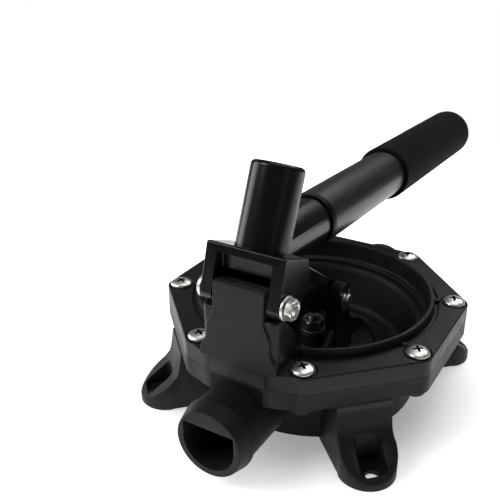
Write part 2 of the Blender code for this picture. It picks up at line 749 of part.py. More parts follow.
def make_hinge_fasteners():
    """The hinge bolt through cheeks and pillar, its head on -X, its washer and nut on +X."""
    place = along((1, 0, 0), HINGE)
    outside = CHEEK_OUTER + GAP
    bolt = [
        (0, -outside - 0.0030),
        (0.0030, -outside - 0.0027),
        (0.0046, -outside - 0.0014),
        (0.0050, -outside),
        (HINGE_BOLT_RADIUS, -outside),
        (HINGE_BOLT_RADIUS, 0.0232),
        (HINGE_BOLT_RADIUS - 0.0006, 0.0238),
        (0, 0.0238),
    ]
    turned("hinge_bolt", bolt, "stainless", steps=20, place=place)
    washer = tube_profile(HINGE_BOLT_RADIUS + GAP, 0.0052, outside, outside + 0.0010)
    turned("hinge_washer", washer, "stainless", steps=24, place=place)
    low = outside + 0.0010 + GAP
    hex_profile(0.0080, low, low + 0.0032, HINGE_BOLT_RADIUS + GAP, "hinge_nut", "stainless", place)


def make_handle():
    """The tube that slips over the lever's low spigot, its end ring, and its foam grip."""
    place = along(handle_direction(), SPIGOT_FOOT)
    ring = [
        (TUBE_BORE, TUBE_START - END_RING_LENGTH - GAP),
        (TUBE_RADIUS - 0.0006, TUBE_START - END_RING_LENGTH - GAP),
        (TUBE_RADIUS, TUBE_START - END_RING_LENGTH + GAP),
        (TUBE_RADIUS, TUBE_START - GAP),
        (TUBE_BORE, TUBE_START - GAP),
    ]
    turned("handle_end_ring", ring, "moulded_black", steps=40, place=place)
    tube = tube_profile(TUBE_BORE, TUBE_RADIUS, TUBE_START, TUBE_END)
    turned("handle_tube", tube, "anodised_tube", steps=40, place=place)
    bore = TUBE_RADIUS + GAP
    grip = [
        (bore, GRIP_START),
        (GRIP_RADIUS - 0.0008, GRIP_START),
        (GRIP_RADIUS, GRIP_START + 0.0008),
        (GRIP_RADIUS, GRIP_END - 0.0035),
        (GRIP_RADIUS - 0.0009, GRIP_END - 0.0012),
        (GRIP_RADIUS - 0.0032, GRIP_END),
        (0, GRIP_END),
        (0, TUBE_END + GAP),
        (bore, TUBE_END + GAP),
    ]
    turned("handle_grip", grip, "foam", steps=36, place=place)


def hang(name, point, pieces):
    """Parents a moving group to an empty on its joint's axis, where each piece has its own origin."""
    pivot = bpy.data.objects.new(name, None)
    pivot.location = point
    bpy.context.scene.collection.objects.link(pivot)
    for piece in pieces:
        moving = bpy.data.objects[piece]
        moving.data.transform(Matrix.Translation(-Vector(point)))
        moving.parent = pivot


def hang_moving_groups():
    """The lever turns on its hinge, the flaps on their pins, and the plate and the handle slide."""
    hang("lever_axis", HINGE, ("lever", "hinge_bolt", "hinge_washer", "hinge_nut"))
    plate = ("diaphragm_fork", "diaphragm_backing_plate", "centre_bolt", "centre_washer")
    hang("plate_axis", CLEVIS, plate + ("centre_nut", "clevis_pin", "clevis_pin_clip"))
    hang("handle_axis", SPIGOT_FOOT, ("handle_end_ring", "handle_tube", "handle_grip"))
    hang("outlet_flap_axis", (0, flap_pin_y(-1), FLAP_PIN_HEIGHT), ("outlet_flap",))
    hang("inlet_flap_axis", (0, flap_pin_y(1), FLAP_PIN_HEIGHT), ("inlet_flap",))


def main():
    clear_scene()
    make_body()
    make_flap("outlet_flap", -1)
    make_flap("inlet_flap", 1)
    make_ring()
    make_screws()
    make_diaphragm()
    make_plate()
    make_centre_fasteners()
    make_clevis_pin()
    make_lever()
    make_hinge_fasteners()
    make_handle()
    hang_moving_groups()


main()
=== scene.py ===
"""Looks of the hand-operated bilge pump: every shown piece is modelled again in fine detail
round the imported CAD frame, in the same metres, and finished with procedural materials."""

import json
import math

import bmesh
import bpy
from mathutils import Matrix, Vector, noise


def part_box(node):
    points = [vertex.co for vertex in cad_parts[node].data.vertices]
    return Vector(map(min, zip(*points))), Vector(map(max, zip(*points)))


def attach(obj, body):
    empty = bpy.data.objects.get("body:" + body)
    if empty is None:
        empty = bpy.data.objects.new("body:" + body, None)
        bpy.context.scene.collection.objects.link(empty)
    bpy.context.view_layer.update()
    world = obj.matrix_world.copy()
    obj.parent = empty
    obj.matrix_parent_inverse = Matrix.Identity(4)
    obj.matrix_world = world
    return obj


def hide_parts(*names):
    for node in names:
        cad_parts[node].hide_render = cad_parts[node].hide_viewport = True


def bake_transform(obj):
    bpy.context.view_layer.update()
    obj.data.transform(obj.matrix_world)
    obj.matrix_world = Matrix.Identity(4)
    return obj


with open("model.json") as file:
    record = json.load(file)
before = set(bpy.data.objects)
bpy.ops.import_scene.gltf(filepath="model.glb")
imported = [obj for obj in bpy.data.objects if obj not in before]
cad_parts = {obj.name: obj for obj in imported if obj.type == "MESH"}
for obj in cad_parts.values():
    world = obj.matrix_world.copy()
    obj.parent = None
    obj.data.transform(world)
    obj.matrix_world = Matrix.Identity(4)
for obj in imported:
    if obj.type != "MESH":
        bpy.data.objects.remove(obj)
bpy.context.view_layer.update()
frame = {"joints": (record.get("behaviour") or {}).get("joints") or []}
joints = {joint["name"]: joint for joint in frame["joints"]}

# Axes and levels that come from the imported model
HINGE = Vector(joints["lever_hinge"]["pos_m"])
HANDLE_AXIS = Vector(joints["handle_slide"]["axis"]).normalized()
FLAP_PINS = {
    "inlet": Vector(joints["inlet_flap_hinge"]["pos_m"]),
    "outlet": Vector(joints["outlet_flap_hinge"]["pos_m"]),
}
PIN_LOW, PIN_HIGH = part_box("clevis_pin")
CLEVIS = Vector((0.0, (PIN_LOW.y + PIN_HIGH.y) / 2, (PIN_LOW.z + PIN_HIGH.z) / 2))
BODY_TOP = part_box("diaphragm")[1].z
RING_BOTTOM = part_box("clamp_ring")[0].z
PORT_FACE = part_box("pump_body")[1].y
PLATE_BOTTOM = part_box("diaphragm_fork")[0].z
RUBBER_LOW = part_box("diaphragm")[0].z

# Levels of the mouldings
UNDERSIDE = 0.0001
FLOOR_TOP = 0.0030
PORT_HEIGHT = 0.0207
FLANGE_BOTTOM = 0.0300
GROOVE_FLOOR = 0.0462
DECK = 0.0470
LIP_TOP = 0.0507
GAP = 0.0003
MERGE = 1e-7
JOINT_LOW = BODY_TOP + 0.00013
JOINT_HIGH = RING_BOTTOM - 0.00013
JOINT_ROUND = 0.00006
PAD_SHY = 0.00004

# Flange and screws
SCREW_COUNT = 8
SCREW_CIRCLE = 0.0665
CORNER_RADIUS = 0.0066
SCREW_RADIUS = 0.0025
SCREW_TWIST = 0.6
HEAD_SEAT = GROOVE_FLOOR + GAP
HEAD_RADIUS = 0.0052
HEAD_RIM = HEAD_SEAT + 0.0007
DOME_RISE = 0.0020
RECESS_RADIUS = 0.0031

# Bowl, bead and rubber
BOWL_RADIUS = 0.0550
BOWL_FOOT_RADIUS = 0.0527
BOWL_ROOT = 0.0515
CAVITY_RADIUS = 0.0493
LIP_RADIUS = 0.0514
BEAD_INNER = 0.0532
BEAD_OUTER = 0.0582
BEAD_FLOOR = 0.0360
RING_BORE = 0.0522
RUBBER = 0.0015

# Feet
FOOT_HALF_WIDTH = 0.0125
FOOT_TOP = 0.0305
FOOT_EDGE = 0.0012
FOOT_TOE_RADIUS = 0.0129
FOOT_TOE_CENTRE = 0.0743
FOOT_HOLE_CENTRE = 0.0804
FOOT_HOLE_RADIUS = 0.0029
FOOT_POCKET_CENTRE = 0.0780
FOOT_POCKET_HALF = (0.0064, 0.0061)
FOOT_POCKET_CORNER = 0.0026

# Ports and flaps
PORT_RADIUS = 0.0162
PORT_ROOT_RADIUS = 0.0150
TAIL_START = 0.0592
BARB_RADIUS = 0.0170
PORT_INNER_END = 0.0430
BORE_HALF_WIDTH = 0.0122
BORE_ROOF = 0.0078
SEAT_STEP = 0.0020
SEATS = {"outlet": -0.0580, "inlet": 0.0720}
FLAP_PIN_RADIUS = 0.0010
FLAP_PIN_REACH = 0.0134
FLAP_SOCKET_REACH = 0.0138
FLAP_KNUCKLE = 0.0022
FLAP_THICKNESS = 0.0020

# Pillar, lever and clevis
PILLAR_FACE = -0.0720
PILLAR_HALF_WIDTH = 0.0119
PILLAR_SLOPE = 0.05
RIB_FRONT = -0.0705
CROWN_RADIUS = 0.0062
CHEEK_ROUND = 0.0052
CHEEK_INNER = 0.0130
CHEEK_OUTER = 0.0184
BOLT_RADIUS = 0.0025
SPIGOT_RADIUS = 0.0114
SPIGOT_LEAN = math.radians(22.8)
SPIGOT_FOOT = Vector((0.0, -0.0516, 0.0902))
STEEP_SPIGOT_LENGTH = 0.0364
HANDLE_SPIGOT_LENGTH = 0.0840
CLEVIS_PIN_RADIUS = 0.0030
EYE_HALF_WIDTH = 0.0090
EYE_RADIUS = 0.0080
SLOT_TRAVEL = 0.0018
EAR_INNER = 0.0100
EAR_OUTER = 0.0160
EAR_FOOT = 0.0190
EAR_RADIUS = 0.0077
BRACE_SIDES = (0.0135, 0.0155)
PLATE_RADIUS = 0.0330
PLATE_TOP = 0.0200
BACKING_THICKNESS = 0.0023
BOSS_TOP = 0.0264
CENTRE_BOLT_RADIUS = 0.0030
CENTRE_BORE = 0.0033

# Handle, measured along its axis from the spigot's foot
TUBE_RADIUS = 0.0127
TUBE_BORE = 0.0117
END_RING_LENGTH = 0.0025
TUBE_START = 0.0461
TUBE_END = 0.2535
GRIP_START = 0.1340
GRIP_END = 0.2570
GRIP_RADIUS = 0.0149
FOAM_SKIN = 0.0009
PATCH_DEPTH = 0.00012
FINE_DEPTH = 0.00003

# Studio
FLOOR_LEVEL = -0.0002
FLOOR_HALF = 0.45
# The floor's emission runs from the first level near the pump to the second far off: dimmed near the
# pump as a painted contact shadow.
FLOOR_GLOW = (0.30, 1.0)
FLOOR_SHADOW_REACH = (0.05, 0.125)
SURROUND_LEVEL = 0.14
LIGHT_TARGET = Vector((0.0, 0.03, 0.06))
LIGHTS = [
    ("key_softbox", (-0.75, -0.75, 0.95), (0.7, 0.7), 11),
    ("right_softbox", (0.95, -0.35, 0.45), (0.4, 0.6), 0.2),
    ("left_softbox", (-0.95, -0.20, 0.25), (0.5, 0.6), 4.5),
    ("top_softbox", (0.10, 0.15, 1.10), (0.8, 0.8), 3),
    ("back_softbox", (0.15, 0.95, 0.90), (0.9, 0.35), 4.5),
]

# Camera
CAMERA_PLACE = Vector((0.13512, -0.28382, 0.21693))
CAMERA_AZIMUTH = math.radians(31.17)
CAMERA_ELEVATION = math.radians(25.15)
CAMERA_ROLL = math.radians(-0.24)
CAMERA_LENS = 52.31
CAMERA_SENSOR = 36.0


# ---- outlines


def arc(centre, radius, start, end, steps):
    """Points on an arc from one angle to the other, in degrees, both ends included."""
    points = []
    for i in range(steps + 1):
        angle = math.radians(start + (end - start) * i / steps)
        points.append((centre[0] + radius * math.cos(angle), centre[1] + radius * math.sin(angle)))
    return points


def fillet(corners, steps=4, radius=0.0):
    """Rounds each corner of a closed outline; a third number on a corner is its own radius."""
    points = []
    for i, corner in enumerate(corners):
        here = Vector(corner[:2])
        own = corner[2] if len(corner) > 2 else radius
        back = Vector(corners[i - 1][:2]) - here
        on = Vector(corners[(i + 1) % len(corners)][:2]) - here
        room = 0.45 * min(back.length, on.length)
        back.normalize()
        on.normalize()
        turn = math.acos(max(-1.0, min(1.0, back.dot(on))))
        if own <= 0 or turn > math.radians(176) or turn < math.radians(4):
            points.append(tuple(here))
            continue
        reach = min(own / math.tan(turn / 2), room)
        own = reach * math.tan(turn / 2)
        centre = here + (back + on).normalized() * (own / math.sin(turn / 2))
        first, last = here + back * reach - centre, here + on * reach - centre
        sweep = math.pi - turn
        for k in range(steps + 1):
            share = k / steps
            near = math.sin((1 - share) * sweep) / math.sin(sweep)
            far = math.sin(share * sweep) / math.sin(sweep)
            points.append(tuple(centre + first * near + last * far))
    return points


def inset(outline, depth):
    """The same outline drawn in by a depth, corner by corner."""
    if not depth:
        return outline
    count = len(outline)
    area = sum(
        outline[i - 1][0] * outline[i][1] - outline[i][0] * outline[i - 1][1] for i in range(count)
    )
    sign = 1 if area > 0 else -1
    moved = []
    for i in range(count):
        here = Vector(outline[i])
        before = (here - Vector(outline[i - 1])).normalized()
        after = (Vector(outline[(i + 1) % count]) - here).normalized()
        left = Vector((-before.y, before.x)) * sign
        right = Vector((-after.y, after.x)) * sign
        blend = 1 + left.dot(right)
        shift = (left + right) / max(blend, 0.3)
        moved.append(tuple(here + shift * depth))
    return moved


def rectangle(left, low, right, high):
    return [(left, low), (right, low), (right, high), (left, high)]


def mirrored(outline):
    """Completes an outline given as its +u half, from top to bottom."""
    return outline + [(-point[0], *point[1:]) for point in reversed(outline)]


# ---- forms


def add_loft(form, loops, closed=False):
    """Skins a run of loops of equal length; a loft that isn't closed gets flat end caps."""
    rows = [[form.verts.new(point) for point in loop] for loop in loops]
    pairs = list(zip(rows, rows[1:]))
    if closed:
        pairs.append((rows[-1], rows[0]))
    else:
        form.faces.new(rows[0])
        form.faces.new(rows[-1])
    for low, high in pairs:
        for i, corner in enumerate(low):
            follow = (i + 1) % len(low)
            form.faces.new((corner, low[follow], high[follow], high[i]))


def add_turned(form, profile, steps, place=Matrix()):
    """Spins a closed outline of (radius, height) pairs about Z, then places it."""
    rows = []
    for radius, height in profile:
        if radius < MERGE:
            rows.append([form.verts.new(place @ Vector((0, 0, height)))] * steps)
            continue
        row = []
        for i in range(steps):
            angle = 2 * math.pi * (i + 0.37) / steps
            point = Vector((radius * math.cos(angle), radius * math.sin(angle), height))
            row.append(form.verts.new(place @ point))
        rows.append(row)
    for low, high in zip(rows, rows[1:] + rows[:1]):
        for i in range(steps):
            follow = (i + 1) % steps
            ring = [low[i], low[follow], high[follow], high[i]]
            face = [v for k, v in enumerate(ring) if v not in ring[:k]]
            if len(face) > 2:
                form.faces.new(face)


def in_scene(name, data):
    """A new object in the scene that holds the data."""
    made = bpy.data.objects.new(name, data)
    bpy.context.scene.collection.objects.link(made)
    return made


def object_from(name, form):
    bmesh.ops.remove_doubles(form, verts=form.verts, dist=MERGE)
    bmesh.ops.recalc_face_normals(form, faces=form.faces)
    mesh = bpy.data.meshes.new(name)
    form.to_mesh(mesh)
    form.free()
    return in_scene(name, mesh)


def loft(name, loops, closed=False):
    form = bmesh.new()
    add_loft(form, loops, closed)
    return object_from(name, form)


def turned(name, profile, steps=96, place=Matrix()):
    form = bmesh.new()
    add_turned(form, profile, steps, place)
    return object_from(name, form)


def slab(name, outline, low, high, across="X", edge=0.0004):
    """Extrudes an outline across an axis, with its two rims rounded by the edge radius."""
    lay = {
        "X": lambda u, v, w: (w, u, v),
        "Y": lambda u, v, w: (u, w, v),
        "Z": lambda u, v, w: (u, v, w),
    }[across]
    low, high = sorted((low, high))
    stations = [(0.0, low), (0.0, high)]
    if edge:
        turns = [math.radians(a) for a in (0, 30, 60, 90)]
        stations = [(edge * (1 - math.sin(t)), low + edge * (1 - math.cos(t))) for t in turns]
        stations += [(d, high + low - w) for d, w in reversed(stations)]
    return loft(name, [[lay(u, v, w) for u, v in inset(outline, depth)] for depth, w in stations])


def along(direction, origin=(0, 0, 0)):
    """A placement that carries +Z onto the direction, from the origin given."""
    turn = Vector((0, 0, 1)).rotation_difference(Vector(direction).normalized())
    return Matrix.Translation(origin) @ turn.to_matrix().to_4x4()


def sideways(origin):
    """A placement on the origin given that carries +Z onto +X, the way of the pins and bolts."""
    return along((1, 0, 0), origin)


def combine(target, tool, operation):
    modifier = target.modifiers.new(tool.name, "BOOLEAN")
    modifier.object = tool
    modifier.operation = operation
    modifier.solver = "EXACT"


def add(target, *tools):
    for tool in tools:
        combine(target, tool, "UNION")


def cut(target, *tools):
    for tool in tools:
        combine(target, tool, "DIFFERENCE")


def bore(piece, name, centre, radius, reach, steps):
    """Drills across the pump through a centre, as far as the reach on either side of it."""
    cut(piece, turned(name, rectangle(0, -reach, radius, reach), steps, sideways(centre)))


def settle(piece):
    """Applies a piece's Booleans and drops their tools."""
    bpy.context.view_layer.update()
    graph = bpy.context.evaluated_depsgraph_get()
    whole = bpy.data.meshes.new_from_object(piece.evaluated_get(graph))
    tools = [modifier.object for modifier in piece.modifiers]
    piece.modifiers.clear()
    piece.data = whole
    for tool in tools:
        bpy.data.objects.remove(tool, do_unlink=True)


def finish(piece, material, body, *nodes, slot=None, angle=40):
    """Shades a piece, gives it its material, and hangs it on its body in its CAD nodes' place."""
    mesh = piece.data
    mesh.shade_smooth()
    mesh.set_sharp_from_angle(angle=math.radians(angle))
    mesh.materials.clear()
    mesh.materials.append(material)
    weigh = piece.modifiers.new("weighted_normals", "WEIGHTED_NORMAL")
    weigh.keep_sharp = True
    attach(piece, body)
    if nodes:
        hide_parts(*nodes)


def on_circle(radius, angle, height=0.0):
    return Vector((radius * math.cos(angle), radius * math.sin(angle), height))


SCREW_ANGLES = [2 * math.pi / SCREW_COUNT * (i + 0.5) for i in range(SCREW_COUNT)]
SCREW_CENTRES = [on_circle(SCREW_CIRCLE, angle) for angle in SCREW_ANGLES]
FOOT_ANGLES = [math.radians(45 + 90 * i) for i in range(4)]


def flange_loop(corner, height):
    """The octagonal flange outline, with its corners round about the screws."""
    arc_steps, flat_steps = 8, 8
    half = math.pi / SCREW_COUNT
    points = []
    for angle, centre in zip(SCREW_ANGLES, SCREW_CENTRES):
        for i in range(arc_steps + 1):
            points.append(centre + on_circle(corner, angle - half + 2 * half * i / arc_steps))
    loop = []
    for i, point in enumerate(points):
        loop.append(point)
        if i % (arc_steps + 1) == arc_steps:
            follow = points[(i + 1) % len(points)]
            loop += [point.lerp(follow, k / flat_steps) for k in range(1, flat_steps)]
    return [Vector((p.x, p.y, height)) for p in loop]


FLANGE_RAYS = [point.normalized() for point in flange_loop(CORNER_RADIUS, 0)]


def round_loops(outline):
    """A circle for each (radius, height) pair, its points on the rays of the flange's points."""
    return [[ray * radius + Vector((0, 0, z)) for ray in FLANGE_RAYS] for radius, z in outline]


def flange_edge(height, inward, radius=0.0008, steps=4):
    """Flange loops round an outer edge: up to the height if inward is 1, down to it if -1."""
    loops = []
    for i in range(steps + 1):
        turn = math.radians(90 * i / steps)
        drop = radius * (1 - math.sin(turn))
        pull = radius * (1 - math.cos(turn))
        loops.append(flange_loop(CORNER_RADIUS - pull, height - inward * drop))
    return loops if inward > 0 else loops[::-1]


def rods(name, centres, profile, steps=32):
    """One upright turned form at each centre, as one cutter or addition."""
    form = bmesh.new()
    for centre in centres:
        add_turned(form, profile, steps, Matrix.Translation(centre))
    return object_from(name, form)


# ---- materials


def grey(level, blue=None):
    """A neutral colour, with its own blue where that is given."""
    return (level, level, blue or level)


def feed(node, inputs):
    """Gives a shader node each of its inputs, by a value or by a link from a socket."""
    for name, value in inputs.items():
        if isinstance(value, bpy.types.NodeSocket):
            node.id_data.links.new(value, node.inputs[name])
        else:
            node.inputs[name].default_value = value


def add_node(tree, kind, inputs, **settings):
    """Adds a shader node with its inputs and its settings."""
    node = tree.nodes.new(f"ShaderNode{kind}")
    for name, value in settings.items():
        setattr(node, name, value)
    feed(node, inputs)
    return node


class Look:
    """A Principled material under construction, with shortcuts for its procedural nodes."""

    def __init__(self, name, colour, roughness, metallic=0.0, specular=0.5):
        self.material = bpy.data.materials.new(name)
        self.material.use_nodes = True
        self.tree = self.material.node_tree
        self.shader = self.tree.nodes["Principled BSDF"]
        inputs = {"Base Color": (*colour, 1.0), "Roughness": roughness, "Metallic": metallic}
        feed(self.shader, {**inputs, "Specular IOR Level": specular})
        self.place = add_node(self.tree, "TexCoord", {}).outputs["Object"]

    def drive(self, name, source):
        """Gives the shader one input, by a value or by a link from a socket."""
        feed(self.shader, {name: source})

    def stretched(self, scale, turn):
        """Object coordinates turned and then scaled unevenly, for grain that runs one way."""
        inputs = {"Rotation": turn, "Scale": scale, "Vector": self.place}
        return add_node(self.tree, "Mapping", inputs, vector_type="TEXTURE").outputs["Vector"]

    def noise(self, scale, detail=2.0, place=None):
        inputs = {"Scale": scale, "Detail": detail, "Vector": place or self.place}
        return add_node(self.tree, "TexNoise", inputs).outputs["Fac"]

    def cells(self, scale):
        inputs = {"Scale": scale, "Vector": self.place}
        return add_node(self.tree, "TexVoronoi", inputs).outputs["Distance"]

    def ramp(self, source, dark, light, low=0.3, high=0.7):
        """A two-stop colour ramp over the source."""
        node = add_node(self.tree, "ValToRGB", {"Fac": source})
        for stop, position, colour in zip(node.color_ramp.elements, (low, high), (dark, light)):
            stop.position = position
            stop.color = (*colour, 1.0)
        return node.outputs["Color"]

    def spread(self, source, low, high, start, end, **settings):
        """Maps a source from one range onto another."""
        inputs = {"From Min": low, "From Max": high, "To Min": start, "To Max": end, "Value": source}
        return add_node(self.tree, "MapRange", inputs, **settings).outputs["Result"]

    def over(self, base, top, share):
        """Mixes a colour over a base colour, by a share that is a socket."""
        inputs = {"Factor": share, "A": base, "B": (*top, 1.0)}
        return add_node(self.tree, "Mix", inputs, data_type="RGBA").outputs["Result"]

    def edge_wear_and_highlight(self):
        """0 on flats, rising to 1 where the mesh's edges stand proud: a mask for rubbed wear and a
        painted edge highlight.
        """
        pointed = add_node(self.tree, "NewGeometry", {}).outputs["Pointiness"]
        return self.spread(pointed, 0.53, 0.60, 0.0, 1.0)

    def roughness(self, noise, low, high):
        """Takes the roughness from a noise, whose values mostly lie from 0.3 to 0.7."""
        self.drive("Roughness", self.spread(noise, 0.3, 0.7, low, high))

    def bumps(self, *layers):
        """Stacks bump layers of (height source, depth in metres, strength)."""
        inputs = {}
        for height, depth, strength in layers:
            inputs.update({"Distance": depth, "Strength": strength, "Height": height})
            inputs["Normal"] = add_node(self.tree, "Bump", inputs).outputs["Normal"]
        self.drive("Normal", inputs["Normal"])


def moulded_plastic(name, tones, rough, grain_depth, gloss=0.20):
    """Satin black thermoplastic: fine spark-eroded grain, faint flow clouds, and proud edges lightened
    as rubbed wear and a painted highlight.
    """
    look = Look(name, tones[0], sum(rough) / 2, specular=gloss)
    tone = look.ramp(look.noise(38, 3), tones[0], tones[1], 0.35, 0.68)
    # Proud edges take the third tone: rubbed wear and a painted highlight.
    look.drive("Base Color", look.over(tone, tones[2], look.edge_wear_and_highlight()))
    look.roughness(look.noise(150, 4), *rough)
    grain, waves = look.noise(3800, 1), look.noise(260, 2)
    look.bumps((grain, grain_depth, 0.5), (waves, grain_depth * 1.5, 0.25))
    return look.material


def gloss_plastic(name):
    """Glossy black moulding with faint flow clouds, a little haze and a fine skin."""
    look = Look(name, grey(0.003, 0.0033), 0.24, specular=0.24)
    tone = look.ramp(look.noise(60, 3), grey(0.0026, 0.0029), grey(0.0042, 0.0046))
    # Proud edges lightened: rubbed wear and a painted highlight.
    look.drive("Base Color", look.over(tone, grey(0.020, 0.021), look.edge_wear_and_highlight()))
    haze = look.noise(170, 3, look.stretched((1.0, 1.0, 3.0), (-SPIGOT_LEAN, 0, 0)))
    look.roughness(haze, 0.20, 0.25)
    look.bumps((look.noise(2400, 2), 0.00001, 0.15))
    return look.material


def anodised_tube(name):
    """Dark anodised aluminium drawn along the handle, with fine die lines."""
    look = Look(name, (0.032, 0.033, 0.035), 0.36, metallic=0.65, specular=0.4)
    dip = math.asin(-HANDLE_AXIS.z)
    lines = look.noise(2600, 2, look.stretched((1.0, 60.0, 1.0), (-dip, 0, 0)))
    tone = look.ramp(look.noise(30, 3), (0.022, 0.023, 0.025), (0.031, 0.032, 0.035))
    scored = look.ramp(lines, grey(0), grey(1), 0.55, 0.8)
    look.drive("Base Color", look.over(tone, grey(0.070, 0.074), scored))
    look.roughness(lines, 0.30, 0.42)
    look.bumps((lines, 0.00001, 0.35), (look.noise(90, 2), 0.00003, 0.2))
    return look.material


def foam_grip(name):
    """Closed-cell foam: matte, open pores at the skin darkened as painted shade, and a dusty bloom."""
    look = Look(name, grey(0.0075, 0.0080), 0.92, specular=0.10)
    pores = look.cells(1150)
    clouds = look.noise(45, 4)
    tone = look.ramp(clouds, grey(0.0034, 0.0036), grey(0.0056, 0.0059))
    # Dark spots at the pore centres: painted shade inside the open pores.
    shaded_pores = look.ramp(pores, grey(1), grey(0), 0.0, 0.28)
    look.drive("Base Color", look.over(tone, grey(0.002), shaded_pores))
    look.roughness(clouds, 0.86, 0.97)
    look.bumps((pores, 0.00016, 0.6), (look.noise(420, 3), 0.00020, 0.4))
    look.drive("Sheen Weight", 0.01)
    look.drive("Sheen Roughness", 0.5)
    return look.material


def nitrile_rubber(name):
    """Matte black rubber with a faint bloom and a slightly pebbled skin."""
    look = Look(name, grey(0.007, 0.0075), 0.6, specular=0.2)
    tone = look.ramp(look.noise(55, 5), grey(0.0044, 0.0054), grey(0.0075, 0.0090), 0.35, 0.7)
    look.drive("Base Color", tone)
    look.roughness(look.noise(130, 3), 0.50, 0.70)
    look.bumps((look.noise(1500, 2), 0.00005, 0.5))
    return look.material


def stainless_steel(name, rough, tones):
    """Stainless with fine scratches and stains, in three tones: stained, clean, and proud edge (rubbed
    wear and a painted highlight).
    """
    look = Look(name, tones[1], sum(rough) / 2, metallic=1.0)
    scratches = look.noise(2200, 3, look.stretched((1.0, 7.0, 1.0), (0.0, 0.0, 0.6)))
    stain = look.noise(340, 4)
    tone = look.ramp(stain, tones[0], tones[1], 0.3, 0.6)
    # Proud edges take the third tone: rubbed wear and a painted highlight.
    look.drive("Base Color", look.over(tone, tones[2], look.edge_wear_and_highlight()))
    look.roughness(scratches, *rough)
    look.bumps((scratches, 0.000012, 0.4), (stain, 0.00002, 0.3))
    return look.material


def floor_paper(name):
    """Pale paper whose emission is full white in the distance and dimmed under the pump, a painted
    contact shadow.
    """
    look = Look(name, grey(0.82), 0.9, specular=0.1)
    look.drive("Base Color", look.ramp(look.noise(3, 2), grey(0.80), grey(0.83)))
    look.drive("Emission Color", (1.0, 1.0, 1.0, 1.0))
    length = add_node(look.tree, "VectorMath", {"Vector": look.place}, operation="LENGTH")
    reach = length.outputs["Value"]
    # Emission dimmed near the pump: a painted contact shadow on the floor.
    shadowed_glow = look.spread(reach, *FLOOR_SHADOW_REACH, *FLOOR_GLOW, interpolation_type="SMOOTHSTEP")
    look.drive("Emission Strength", shadowed_glow)
    return look.material


# Tones of the mouldings: dark clouds, light clouds, and proud edges (rubbed wear and a painted
# highlight)
BODY_TONES = (grey(0.0058, 0.0068), grey(0.0086, 0.0100), grey(0.028, 0.030))
RING_TONES = (grey(0.0064, 0.0075), grey(0.0094, 0.0108), grey(0.030, 0.032))
PLATE_TONES = (grey(0.0050, 0.0054), grey(0.0072, 0.0077), grey(0.016, 0.017))
COLLAR_TONES = (grey(0.0050, 0.0053), grey(0.0075, 0.0079), grey(0.018, 0.019))
BODY_PLASTIC = moulded_plastic("body_plastic", BODY_TONES, (0.44, 0.58), 0.00003, 0.14)
RING_PLASTIC = moulded_plastic("ring_plastic", RING_TONES, (0.38, 0.50), 0.00003, 0.18)
PLATE_PLASTIC = moulded_plastic("plate_plastic", PLATE_TONES, (0.34, 0.46), 0.00002)
COLLAR_PLASTIC = moulded_plastic("collar_plastic", COLLAR_TONES, (0.26, 0.38), 0.00001)
LEVER_PLASTIC = gloss_plastic("lever_plastic")
TUBE_METAL = anodised_tube("tube_metal")
GRIP_FOAM = foam_grip("grip_foam")
RUBBER_LOOK = nitrile_rubber("diaphragm_rubber")
FLAP_RUBBER = nitrile_rubber("flap_rubber")

# Stained, clean and proud-edge tones of the steels; the edge tone is rubbed wear and a painted
# highlight, and the recess tones are painted shade for the cross recess
BRIGHT = ((0.50, 0.49, 0.47), (0.76, 0.75, 0.73), (0.86, 0.85, 0.84))
WORN = ((0.30, 0.295, 0.28), (0.56, 0.55, 0.53), (0.80, 0.79, 0.78))
DULL = (grey(0.07, 0.072), grey(0.12, 0.122), grey(0.20))
RECESS_SHADE_TONES = (grey(0.010), (0.022, 0.021, 0.020), grey(0.05))
STEEL = stainless_steel("stainless", (0.26, 0.42), BRIGHT)
BOLT_STEEL = stainless_steel("bolt_stainless", (0.28, 0.45), WORN)
DULL_STEEL = stainless_steel("dulled_stainless", (0.42, 0.60), DULL)
# Near-black steel for the screws' cross recess: painted shade.
RECESS_SHADE_STEEL = stainless_steel("recess_shade_stainless", (0.45, 0.65), RECESS_SHADE_TONES)


# ---- body


def d_outline(shrink=0.0):
    """The port's D: a flat roof with rounded corners over a half-round floor, as (x, z)."""
    half = BORE_HALF_WIDTH - shrink
    roof = PORT_HEIGHT + BORE_ROOF - shrink
    corners = [(-half, PORT_HEIGHT, 0), (-half, roof), (half, roof), (half, PORT_HEIGHT, 0)]
    return fillet(corners, radius=0.0012) + arc((0.0, PORT_HEIGHT), half, 0, -180, 41)[1:-1]


def foot_height(radius):
    """Top of a foot at a distance from the pump's centre: steep at the bowl, shallow at the toe."""
    ramp = [
        (0.0685, 0.0310), (0.0692, 0.0250), (0.0703, 0.0185), (0.0725, 0.0155), (0.0750, 0.0130),
        (0.0800, 0.0090), (0.0840, 0.0055), (0.0872, 0.0033),
    ]
    for (near, high), (far, low) in zip(ramp, ramp[1:]):
        if radius <= far:
            return high + (low - high) * max(radius - near, 0.0) / (far - near)
    return ramp[-1][1]


def foot_section(reach, half, top, lean=0.0):
    """One upright section of a foot, with its two upper corners rounded."""
    edge = min(FOOT_EDGE, 0.4 * half, 0.4 * top)
    outline = fillet([(-half, 0, 0), (-half, top, edge), (half, top, edge), (half, 0, 0)])
    return [Vector((reach - lean * (1 - z / top), y, z)) for y, z in outline]


